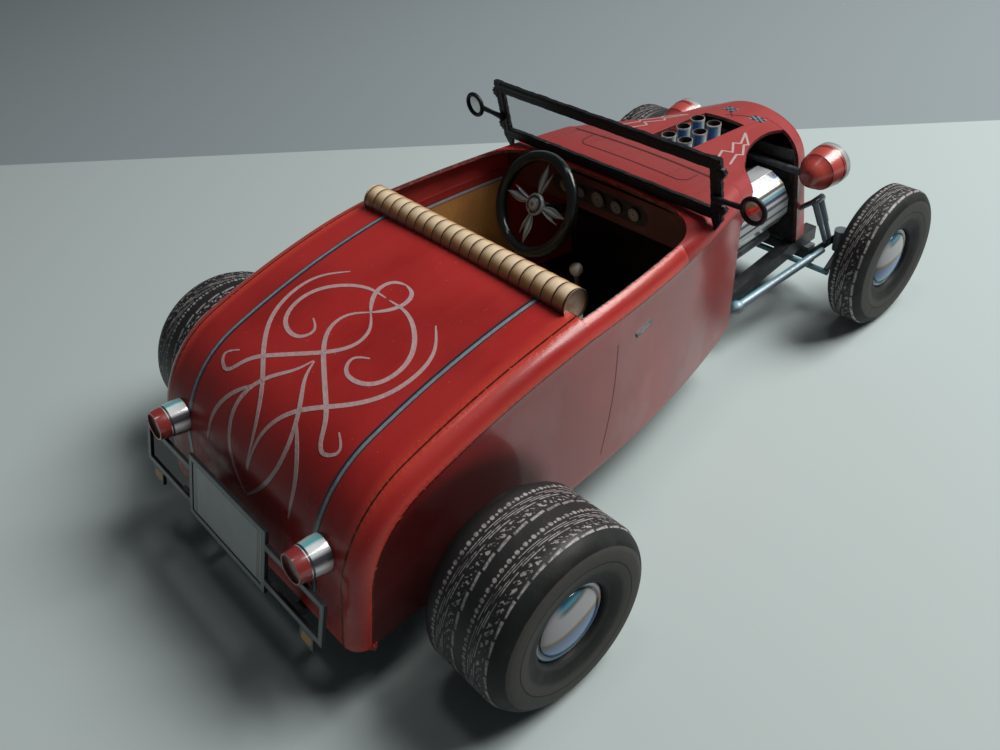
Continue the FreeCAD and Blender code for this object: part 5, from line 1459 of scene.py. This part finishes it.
print("lever", round(top - foot, 1), "mm tall")

# %% [markdown]
# ## Dials
#
# The dashboard is one printed sheet with a dark panel on it. Each dial is a disc with a ring.
# Its ticks are a wave that goes round it, masked to a narrow band near the rim.

# %% Dash and dials
panel_card, tree, shader = new_material("panel_card", (0.006, 0.006, 0.007), 0.5, 0.15, 0.25)
grain = noise(tree, 0.8, 3.0)
color_from(tree, shader, blend(tree, grain, (0.003, 0.003, 0.004), (0.012, 0.012, 0.014)))
dial_card, tree, shader = new_material("dial_card", (0.35, 0.36, 0.36), 0.35, 1.0, 0.15)
out, turn = print_place(tree)
ticks = calc(tree, "SINE", times(tree, turn, math.tau * 12))
band = times(tree, ramp(tree, out, 0.52, 0.58), ramp(tree, out, 0.76, 0.70))
marks = times(tree, ramp(tree, ticks, 0.2, 0.6), band)
needle = ramp(tree, away_from(tree, turn, 0.62), 0.03, 0.015)
needle = times(tree, needle, ramp(tree, out, 0.6, 0.5))
boss = ramp(tree, out, 0.16, 0.12)
marks = calc(tree, "MAXIMUM", marks, calc(tree, "MAXIMUM", needle, boss))
face = blend(tree, marks, (0.26, 0.24, 0.25), (0.05, 0.025, 0.025))
color_from(tree, shader, blend(tree, ramp(tree, out, 0.82, 0.86), face, (0.035, 0.035, 0.04)))
panel_low, panel_high, panel_mid = measured("instrument_cluster")
reach, rise = panel_high[1], (panel_high[2] - panel_low[2]) / 2

# The panel is two half circles with a straight run between them. A steep cosine, cut off at 1,
# moves each half to its end.
turn, share = np.meshgrid(np.linspace(0, math.tau, 97), np.linspace(0, 1, 8), indexing="ij")
flat_y = np.clip(np.cos(turn) * 40, -1, 1) * (reach - rise) + rise * np.cos(turn)
flat_z = rise * np.sin(turn)
panel = np.stack([np.full(turn.shape, panel_high[0] - 0.02), flat_y * share,
                  panel_mid[2] + flat_z * share], axis=-1)
panel[..., 0] -= 0.04 * (1 - share ** 8)
make_piece("dial_panel", [patch(panel)], [panel_card], replaces=["instrument_cluster"],
           slot="dash_card", thick=0.02)
dials = []
for place, radius in ((8.2, 1.25), (4.2, 1.1), (0.0, 1.6), (-4.4, 1.3), (-8.5, 1.35)):
    shape = np.array([(0.0, radius), (0.10, radius), (0.12, radius * 0.86),
                      (0.07, radius * 0.84), (0.07, 0.0)])
    uv = crossed(shape[:, 1] / radius, np.linspace(0, 1, 41))
    dials.append(turned((panel_low[0] - 0.02, place, panel_mid[2]), (-1, 0, 0), shape, 40, uv=uv,
                        flip=True))
make_piece("dials", dials, [dial_card], slot="dash_card")
print(len(dials), "dials")

# %% [markdown]
# ## The seat
#
# The seat is folded from printed card, with a rolled tube along its top. Its ribs are a print:
# cream at the top of each rib, amber towards the black line between ribs. Lower down on the
# roll and the seat the card is painted with shade: amber, then dark brown underneath.

# %% Ribbed card
RIB = 2.3


def ribbed_card(name, cream, amber):
    """Ribs across the print's first direction, in mm. The second is a painted shade, 0 to 1,
    highest where the piece faces down: it turns the cream amber and then dark brown.
    """
    material, tree, shader = new_material(name, cream, 0.45, 0.8, 0.22)
    along, shade = print_place(tree)
    wobble = calc(tree, "MULTIPLY_ADD", noise(tree, 0.5, 1.0), 0.22, along)
    cell = calc(tree, "FRACT", calc(tree, "DIVIDE", wobble, RIB))
    off = away_from(tree, cell, 0.5)
    edge = calc(tree, "MAXIMUM", ramp(tree, cell, 0.62, 0.97), ramp(tree, cell, 0.20, 0.02))
    # Amber beside the lines between ribs is print. Amber lower down on the piece is painted shade.
    warm = times(tree, edge, calc(tree, "MULTIPLY_ADD", shade, 0.6, 0.5))
    warm = calc(tree, "MAXIMUM", warm, ramp(tree, shade, 0.08, 0.46))
    line = ramp(tree, off, 0.430, 0.452)
    blot = noise(tree, 0.3, 3.0)
    pale = blend(tree, blot, tuple(c * 0.82 for c in cream), cream)
    paint = blend(tree, warm, pale, amber)
    # Painted shade: dark brown at the bottom of the piece, underneath it.
    paint = blend(tree, ramp(tree, shade, 0.48, 0.72), paint, (0.06, 0.03, 0.012))
    color_from(tree, shader, blend(tree, line, paint, (0.006, 0.004, 0.003)))
    height = calc(tree, "MULTIPLY_ADD", ramp(tree, off, 0.5, 0.1), 1.0,
                  times(tree, noise(tree, 1.2, 3.0), 0.25))
    add_bump(tree, shader, height, 0.5, 0.2)
    return material


roll_card = ribbed_card("roll_card", (0.90, 0.72, 0.50), (0.48, 0.24, 0.065))
seat_card = ribbed_card("seat_card", (0.44, 0.36, 0.26), (0.16, 0.08, 0.03))
amber_card, tree, shader = new_material("amber_card", (0.30, 0.16, 0.07), 0.4, 0.9, 0.2)
blot = ramp(tree, noise(tree, 0.5, 3.0), 0.35, 0.7)
tint = blend(tree, blot, (0.30, 0.17, 0.10), (0.42, 0.33, 0.27))
near = ramp(tree, edge_place(tree), 0.5, 0.15)
color_from(tree, shader, blend(tree, near, tint, (0.02, 0.012, 0.008)))

# %% Roll, back and cushion
roll_high = measured("seat_roll")[1]
ROLL, ROLL_RIBS = 2.6, 22
roll_half = roll_high[1]
centre = np.array((roll_high[0] - ROLL, 0, roll_high[2] - ROLL))
run = np.linspace(-roll_half, roll_half, ROLL_RIBS * 8 + 1)
ribs = np.abs(np.cos(math.pi * run / RIB))
radius = ROLL - 0.10 + 0.10 * ribs ** 0.5

# The tube runs from one side of its glued seam, low at the back, to the other, in degrees. Its
# painted shade is 0 at PALE_TOP, near the top, and grows to 1 over SHADE_SPAN on either side,
# so the roll is painted amber and then dark brown lower down.
SEAM_FROM, SEAM_TO, PALE_TOP, SHADE_SPAN = -118, 222, 98, 110
turn = np.linspace(math.radians(SEAM_FROM), math.radians(SEAM_TO), 49)
spin = radius[:, None]
points = np.stack([centre[0] + spin * np.cos(turn)[None, :], np.broadcast_to(
    run[:, None], (len(run), len(turn))), centre[2] + spin * np.sin(turn)[None, :]], axis=-1)
roll_shade = np.clip(np.abs(np.degrees(turn) - PALE_TOP) / SHADE_SPAN, 0, 1)
parts = [patch(points, uv=crossed(run + RIB / 2, roll_shade), edge=no_edge(points))]
for sign in (1, -1):
    share = np.array([1.0, 0.96, 0.86, 0.5, 0.02])[:, None]
    dish = np.array([0.0, 0.02, -0.25, -0.5, -0.55])[:, None]
    around = np.linspace(0, math.tau, 49)[None, :]
    cap = np.stack(np.broadcast_arrays(
        centre[0] + (ROLL - 0.02) * share * np.cos(around),
        sign * (roll_half - 0.05 + dish), centre[2] + (ROLL - 0.02) * share * np.sin(around)), -1)
    mark = np.broadcast_to((1 - share) * ROLL, cap.shape[:2]) * 1.0
    parts.append(patch(cap, slot=1, flip=sign > 0, edge=mark))
make_piece("seat_tube", parts, [roll_card, amber_card], replaces=["seat_roll"],
           slot="cream_card", sharp=50)


def folded_box(low, high, round_off, puff, start=0.0):
    """A box of card bent round a rounded section in x and z, with ribs across its width.

    The section is a superellipse: |x|^n + |z|^n = 1. Each rib swells by puff."""
    middle, half = (low + high) / 2, (high - low) / 2
    turn = np.linspace(0, math.tau, 65)
    power = 2 / round_off
    cos, sin = np.cos(turn), np.sin(turn)
    ring_x = np.sign(cos) * np.abs(cos) ** power
    ring_z = np.sign(sin) * np.abs(sin) ** power
    width = np.linspace(-half[1], half[1], int(round(2 * half[1] / RIB)) * 6 + 1)
    swell = 1 - puff * (1 - np.abs(np.cos(math.pi * width / RIB)) ** 0.6)
    end = 1 - 0.5 * np.clip(1 - (half[1] - np.abs(width)) / 0.5, 0, 1) ** 2
    x, z = (middle[k] + ring[None, :] * (half[k] - puff * 2 + puff * 2 * swell[:, None])
            * end[:, None] for k, ring in ((0, ring_x), (2, ring_z)))
    y = np.broadcast_to(width[:, None], x.shape)
    points = np.stack([x, y, z], axis=-1)
    # Painted shade: 0 on top of the box and rising towards its bottom, where it turns the card
    # amber and then dark brown.
    shade = np.clip(0.35 - 0.5 * sin, 0, 1)
    parts = [patch(points, uv=crossed(width + start, shade), edge=no_edge(points))]
    for row, flip in ((0, False), (-1, True)):
        rim = points[row]
        core = np.broadcast_to(rim.mean(axis=0), rim.shape)
        end_face = np.stack([core, rim])
        parts.append(patch(end_face, flip=flip, edge=no_edge(end_face)))
    return parts


back_low, back_high, _ = measured("seat_back")
cushion_low, cushion_high, _ = measured("seat_cushion")
make_piece("seat_back_card", folded_box(back_low, back_high, 7, 0.06, RIB / 2), [seat_card],
           replaces=["seat_back"], slot="cream_card", sharp=50)
make_piece("seat_cushion_card", folded_box(cushion_low, cushion_high, 6, 0.06, RIB / 2),
           [seat_card], replaces=["seat_cushion"], slot="cream_card", sharp=50)
print("seat roll", round(2 * roll_half, 1), "mm wide")

# %% [markdown]
# ## The engine
#
# Only printed boxes stand in the bay: two faceted covers, a block and six stacks. The covers
# keep their solid shape. Their print is bands that follow the angle round each bank.

# %% Covers and block
cover_high = measured("valve_covers")[1]
BANK = 6.3
bank_half, bank_height = cover_high[1] - BANK, cover_high[2] - BANK
cover_print, tree, shader = new_material("cover_print", (0.45, 0.46, 0.48), 0.3, 1.0, 0.1)
x, y, z = split_up(tree, places(tree))
out_y = calc(tree, "SUBTRACT", calc(tree, "ABSOLUTE", y), bank_half)
angle = calc(tree, "ARCTAN2", calc(tree, "SUBTRACT", z, bank_height), out_y)
turn = calc(tree, "MULTIPLY_ADD", angle, 1 / math.pi, 0.25)
turn = calc(tree, "MULTIPLY_ADD", noise(tree, 0.6, 2.0, (0.2, 1, 1)), 0.012, turn)
color_from(tree, shader, banded(tree, turn, (
    (0.00, (0.46, 0.47, 0.48)), (0.07, (0.10, 0.09, 0.07)), (0.10, (0.50, 0.52, 0.54)),
    (0.20, (0.52, 0.54, 0.56)), (0.235, (0.06, 0.06, 0.07)), (0.26, (0.55, 0.58, 0.60)),
    (0.33, (0.10, 0.10, 0.13)), (0.36, (0.42, 0.42, 0.46)), (0.39, (0.06, 0.07, 0.10)),
    (0.42, (0.16, 0.36, 0.44)), (0.45, (0.50, 0.54, 0.57)), (0.475, (0.12, 0.14, 0.16)),
    (0.50, (0.36, 0.34, 0.20)), (0.53, (0.52, 0.53, 0.55)), (0.58, (0.03, 0.12, 0.34)),
    (0.61, (0.05, 0.06, 0.09)), (0.66, (0.48, 0.50, 0.52)), (0.80, (0.56, 0.58, 0.60)),
    (0.86, (0.08, 0.08, 0.09)), (0.93, (0.50, 0.52, 0.54))), "CONSTANT"))
card_coat(tree, shader, 0.3)
block_print, tree, shader = new_material("block_print", (0.3, 0.32, 0.34), 0.35, 1.0, 0.15)
x, y, z = split_up(tree, places(tree))
block_low, block_high, _ = measured("engine_block")
level = calc(tree, "DIVIDE", calc(tree, "SUBTRACT", z, block_low[2]), block_high[2] - block_low[2])
level = calc(tree, "MULTIPLY_ADD", noise(tree, 0.5, 2.0, (0.3, 1, 1)), 0.03, level)
color_from(tree, shader, banded(tree, level, (
    (0.0, (0.04, 0.05, 0.06)), (0.12, (0.20, 0.22, 0.24)), (0.20, (0.05, 0.06, 0.07)),
    (0.30, (0.34, 0.38, 0.40)), (0.40, (0.10, 0.24, 0.32)), (0.46, (0.40, 0.43, 0.45)),
    (0.56, (0.04, 0.14, 0.36)), (0.63, (0.05, 0.05, 0.06)), (0.70, (0.42, 0.44, 0.46)),
    (0.86, (0.10, 0.12, 0.14)), (1.0, (0.36, 0.38, 0.40)))))
card_coat(tree, shader, 0.3)
print("banks at", round(bank_half, 1), round(bank_height, 1))

# %% Stacks, rods and struts
stack_print = chrome_print("stack_print", (
    (0.0, (0.02, 0.02, 0.03)), (0.08, (0.02, 0.08, 0.34)), (0.20, (0.03, 0.20, 0.58)),
    (0.26, (0.50, 0.60, 0.68)), (0.34, (0.50, 0.56, 0.60)), (0.38, (0.02, 0.02, 0.03)),
    (0.46, (0.01, 0.04, 0.16)), (0.58, (0.03, 0.16, 0.50)), (0.68, (0.06, 0.28, 0.58)),
    (0.73, (0.56, 0.62, 0.64)), (0.84, (0.58, 0.60, 0.61)), (0.88, (0.02, 0.02, 0.03)),
    (0.95, (0.30, 0.32, 0.34))))
stack_low, stack_high, _ = measured("intake_stacks")
STACK, BORE = 1.4, 1.05
tall = stack_high[2] - stack_low[2]
stack_bands = (
    # tube, white lip and bore, each as (height, radius)
    [(0, 0.6), (0, STACK - 0.08), (0.5, STACK - 0.1), (tall - 0.9, STACK - 0.1),
     (tall - 0.3, STACK)],
    [(tall - 0.3, STACK), (tall - 0.02, STACK - 0.02), (tall, STACK - 0.1)],
    [(tall, STACK - 0.1), (tall - 0.02, BORE + 0.06), (tall - 0.2, BORE), (1, BORE), (1, 0)],
)
columns = np.linspace(stack_low[0] + STACK, stack_high[0] - STACK, 3)
tubes = []
for place in columns:
    for _, sign in SIDES:
        spot = (place, sign * (stack_high[1] - STACK), stack_low[2])
        for number, shape in enumerate(stack_bands):
            tubes.append(turned(spot, (0, 0, 1), shape, 36, top=(1, 0, 0), flip=True,
                                slot=number))
make_piece("stacks", tubes, [stack_print, knob_card, panel_card], replaces=["intake_stacks"],
           slot="chrome_print")
rods, struts = [], []
ROD_REAR, ROD_FRONT = (32.575, 16.5, 8.9), (57.345, 19.7, 11.45)
STRUT_TOP, STRUT_FOOT = (56.175, 17.5, 22.9), (59.175, 19.3, 12.65)
ARM_START = (56.175, 13.4, 19.4)
for _, sign in SIDES:
    start, end, bolt, foot, arm = (np.array(place) * (1, sign, 1) for place in (
        ROD_REAR, ROD_FRONT, STRUT_TOP, STRUT_FOOT, ARM_START))
    long = np.linalg.norm(end - start)
    shape = np.array([(-1.45, 0.0), (-1.2, 0.85), (-0.4, 1.4), (0.5, 1.35), (1.1, 0.95),
                      (1.5, 0.88), (long * 0.85, 0.88), (long * 0.85 + 0.2, 0.68),
                      (long - 0.3, 0.68), (long - 0.1, 0.6), (long - 0.1, 0.0)])
    rods.append(turned(start, end - start, shape, 24, flip=True))
    for along in (-1, 1):
        top = bolt + (along, 0, 0)
        reach = foot + (0.8 * along, 0, 0) - top
        tall = np.linalg.norm(reach)
        shape = np.array([(0.0, 0.0), (0.0, 0.66), (tall * 0.55, 0.66), (tall * 0.56, 0.5),
                          (tall, 0.5), (tall, 0.0)])
        struts.append(turned(top, reach, shape, 18, top=(0, 1, 0), flip=True))
    shape = np.array([(-1.9, 0.0), (-1.9, 0.5), (-1.6, 0.75), (1.6, 0.75), (1.9, 0.5), (1.9, 0.0)])
    struts.append(turned(bolt, (1, 0, 0), shape, 20, flip=True))
    reach = np.linalg.norm(bolt - arm)
    shape = np.array([(0.0, 0.0), (0.0, 0.55), (reach, 0.55), (reach, 0.0)])
    struts.append(turned(arm, bolt - arm, shape, 12, top=(1, 0, 0), flip=True))
make_piece("radius_rod_tubes", rods, [rod_print], replaces=["radius_rods"],
           slot="blue_grey_card", sharp=40)
make_piece("strut_tubes", struts, [blue_bar], replaces=["shock_absorbers"],
           slot="blue_grey_card", sharp=40)
print("rods", round(long, 1), "mm long, struts", round(tall, 1))

# %% [markdown]
# ## The bumper
#
# The bumper and the plate's frame are one flat cut-out: narrow bars, printed lighter along the
# middle. A grid with lines at every bar gives the holes without a boolean.

# %% Bumper
BUMPER_LEAN = math.radians(18)
bumper_foot = np.array((-72.383, 0, 16.0))
HOOP, PLATE, STRIP_WIDE, TALL, RISE, DROP = 26.5, 11.5, 1.0, 7.4, 2.2, 1.6


def on_bumper(y, h, ahead):
    """Places on the leaning bumper: y across, h up its face, ahead of its rear face."""
    return np.stack([bumper_foot[0] + h * math.sin(BUMPER_LEAN) + ahead * math.cos(BUMPER_LEAN),
                     y, bumper_foot[2] + h * math.cos(BUMPER_LEAN)
                     - ahead * math.sin(BUMPER_LEAN)], axis=-1)


hoop_bars = []
for sign in (1, -1):
    y_ends = sorted((sign * PLATE, sign * HOOP))
    hoop_bars += [(*y_ends, 0, STRIP_WIDE), (*y_ends, TALL - STRIP_WIDE, TALL),
                  (*sorted((sign * (HOOP - STRIP_WIDE), sign * HOOP)), 0, TALL),
                  (*sorted((sign * (PLATE - STRIP_WIDE), sign * PLATE)), -DROP, TALL + RISE)]
hoop_bars += [(-PLATE, PLATE, -DROP, -DROP + STRIP_WIDE),
              (-PLATE, PLATE, TALL + RISE - STRIP_WIDE, TALL + RISE)]


def marks_between(values, pieces=4):
    """Grid lines: every value, with more between neighbours."""
    values = np.unique(np.round(values, 4))
    return np.unique(np.concatenate([np.linspace(a, b, pieces + 1)
                                     for a, b in zip(values, values[1:])]))


bar_array = np.array(hoop_bars)
y_lines = marks_between(bar_array[:, :2].ravel())
h_lines = marks_between(bar_array[:, 2:].ravel())
grid_y, grid_h = np.meshgrid(y_lines, h_lines, indexing="ij")
depth_in = np.max([np.minimum(np.minimum(grid_y - a, b - grid_y),
                              np.minimum(grid_h - c, e - grid_h))
                   for a, b, c, e in hoop_bars], axis=0)
middle_y, middle_h = (y_lines[1:] + y_lines[:-1]) / 2, (h_lines[1:] + h_lines[:-1]) / 2
keep = np.zeros((len(middle_y), len(middle_h)), bool)
for a, b, c, e in hoop_bars:
    keep |= ((middle_y > a) & (middle_y < b))[:, None] & ((middle_h > c) & (middle_h < e))[None, :]
bar_card, tree, shader = new_material("bar_card", (0.07, 0.09, 0.10), 0.4, 0.5, 0.15)
inset = calc(tree, "MULTIPLY_ADD", noise(tree, 0.8, 2.0), 0.12, edge_place(tree))
color_from(tree, shader, banded(tree, inset, (
    (0.0, (0.006, 0.008, 0.010)), (0.16, (0.008, 0.010, 0.012)), (0.24, (0.05, 0.07, 0.08)),
    (0.36, (0.06, 0.08, 0.09)), (0.46, (0.11, 0.14, 0.155)), (0.6, (0.09, 0.12, 0.13)))))
card_coat(tree, shader, 0.3)
make_piece("bumper_bars", [patch(on_bumper(grid_y, grid_h, np.zeros(grid_y.shape)), keep=keep,
                                 edge=np.maximum(depth_in, 0), flip=True)],
           [bar_card, trim_card], replaces=["rear_bumper"], slot="blue_grey_card", thick=CARD,
           rim=1)
plate_card, tree, shader = new_material("plate_card", (0.24, 0.27, 0.28), 0.4, 1.0, 0.2)
fade = noise(tree, 0.12, 3.0)
tint = blend(tree, fade, (0.08, 0.09, 0.10), (0.20, 0.21, 0.22))
x, y, z = split_up(tree, places(tree))
# Painted shade: a dark slot down each side of the plate stands for the shadowed gap between the
# plate and the frame.
off = away_from(tree, calc(tree, "ABSOLUTE", y), PLATE - STRIP_WIDE - 1.0)
painted_gap_shade = times(tree, ramp(tree, off, 0.55, 0.42), ramp(tree, edge_place(tree), 0.25, 0.4))
rule = ramp(tree, away_from(tree, edge_place(tree), 0.9), 0.12, 0.05)
tint = blend(tree, times(tree, rule, 0.35), tint, (0.05, 0.07, 0.09))
color_from(tree, shader, blend(tree, painted_gap_shade, tint, (0.012, 0.012, 0.014)))
card_coat(tree, shader, 0.4)
plate_y = np.linspace(-(PLATE - STRIP_WIDE), PLATE - STRIP_WIDE, 43)
plate_h = np.linspace(-DROP + STRIP_WIDE, TALL + RISE - STRIP_WIDE, 25)
grid_y, grid_h = np.meshgrid(plate_y, plate_h, indexing="ij")
make_piece("plate", [patch(on_bumper(grid_y, grid_h, np.full(grid_y.shape, 0.12)), flip=True)],
           [plate_card], replaces=["number_plate"], slot="cream_card", thick=0.45)
tab_card, tree, shader = new_material("tab_card", (0.42, 0.20, 0.04), 0.5, 0.3, 0.2)
fade = noise(tree, 0.5, 2.0)
tint = blend(tree, fade, (0.46, 0.19, 0.03), (0.60, 0.30, 0.07))
color_from(tree, shader, blend(tree, ramp(tree, edge_place(tree), 0.5, 0.38), tint,
                               (0.05, 0.065, 0.08)))
tabs = []
for _, sign in SIDES:
    tab_y = np.linspace(sign * 22.8 - 1.7, sign * 22.8 + 1.7, 9)
    grid_y, grid_h = np.meshgrid(tab_y, np.linspace(-2.4, 0.0, 7), indexing="ij")
    tabs.append(patch(on_bumper(grid_y, grid_h, np.full(grid_y.shape, 0.02)), flip=True))
make_piece("tabs", tabs, [tab_card, trim_card], replaces=["marker_tabs"], slot="amber_print",
           thick=0.55, rim=1)
print("bumper", 2 * HOOP, "mm wide")

# %% [markdown]
# ## Finishes for the frame's own pieces
#
# The chassis, floor, axles and block are plain card boxes on the real kit too, so their solids
# stay as they are. Each gets the finish of its sheet.


# %% Finishes
def sheet_card(name, dark, light, scale=0.5):
    """Plain printed card: two tones in soft blotches, with a paper grain."""
    material, tree, shader = new_material(name, light, 0.5, 0.5, 0.3)
    blot = ramp(tree, noise(tree, scale, 4.0), 0.35, 0.68)
    color_from(tree, shader, blend(tree, blot, dark, light))
    add_bump(tree, shader, noise(tree, 1.4, 3.0), 0.35, 0.2)
    return material


frame_black = sheet_card("frame_black", (0.012, 0.013, 0.014), (0.036, 0.038, 0.042))
floor_black = sheet_card("floor_black", (0.006, 0.005, 0.005), (0.020, 0.016, 0.015), 0.2)
bar_grey = sheet_card("bar_grey", (0.03, 0.035, 0.04), (0.13, 0.15, 0.17), 0.3)
core_black = sheet_card("core_black", (0.008, 0.008, 0.008), (0.05, 0.035, 0.03), 0.9)
dash_red, tree, shader = new_material("dash_red", (0.12, 0.006, 0.008), 0.5, 0.3, 0.25)
blot = noise(tree, 0.15, 3.0)
color_from(tree, shader, blend(tree, blot, (0.060, 0.003, 0.004), (0.16, 0.008, 0.010)))
card_coat(tree, shader)
ochre_card, tree, shader = new_material("ochre_card", (0.26, 0.13, 0.05), 0.5, 0.7, 0.25)
x, y, z = split_up(tree, places(tree))
down = calc(tree, "SUBTRACT", measured("door_cards")[1][2], z)
blot = noise(tree, 0.09, 4.0)
ochre = blend(tree, ramp(tree, blot, 0.3, 0.7), (0.46, 0.20, 0.050), (0.62, 0.33, 0.11))
strip = banded(tree, calc(tree, "DIVIDE", down, 6.0), (
    (0.0, (0.26, 0.014, 0.012)), (0.20, (0.34, 0.020, 0.016)), (0.235, (0.012, 0.012, 0.014)),
    (0.27, (0.50, 0.45, 0.50)), (0.34, (0.34, 0.30, 0.35)), (0.37, (0.012, 0.012, 0.014))))
color_from(tree, shader, blend(tree, ramp(tree, down, 2.22, 2.3), strip, ochre))
card_coat(tree, shader)
OWN = {
    "chassis_frame": frame_black, "floor_pan": floor_black, "seat_bulkhead": floor_black,
    "firewall": floor_black, "dashboard": dash_red, "door_cards": ochre_card,
    "engine_block": block_print, "valve_covers": cover_print, "exhaust_headers": bar_grey,
    "intake_manifold": bar_grey, "radiator": core_black, "grille": frame_black,
    "headlight_bar": bar_grey, "steering_column": frame_black, "rear_axle": frame_black,
    "front_axle": frame_black, "front_spring": bar_grey, "steering_knuckles": bar_grey,
    "tie_rod": rod_print, "bumper_brackets": frame_black,
}
for name, material in OWN.items():
    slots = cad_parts[name].material_slots
    if not slots:
        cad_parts[name].data.materials.append(material)
    for item in slots:
        item.material = material
print(len(OWN), "of the frame's pieces finished")
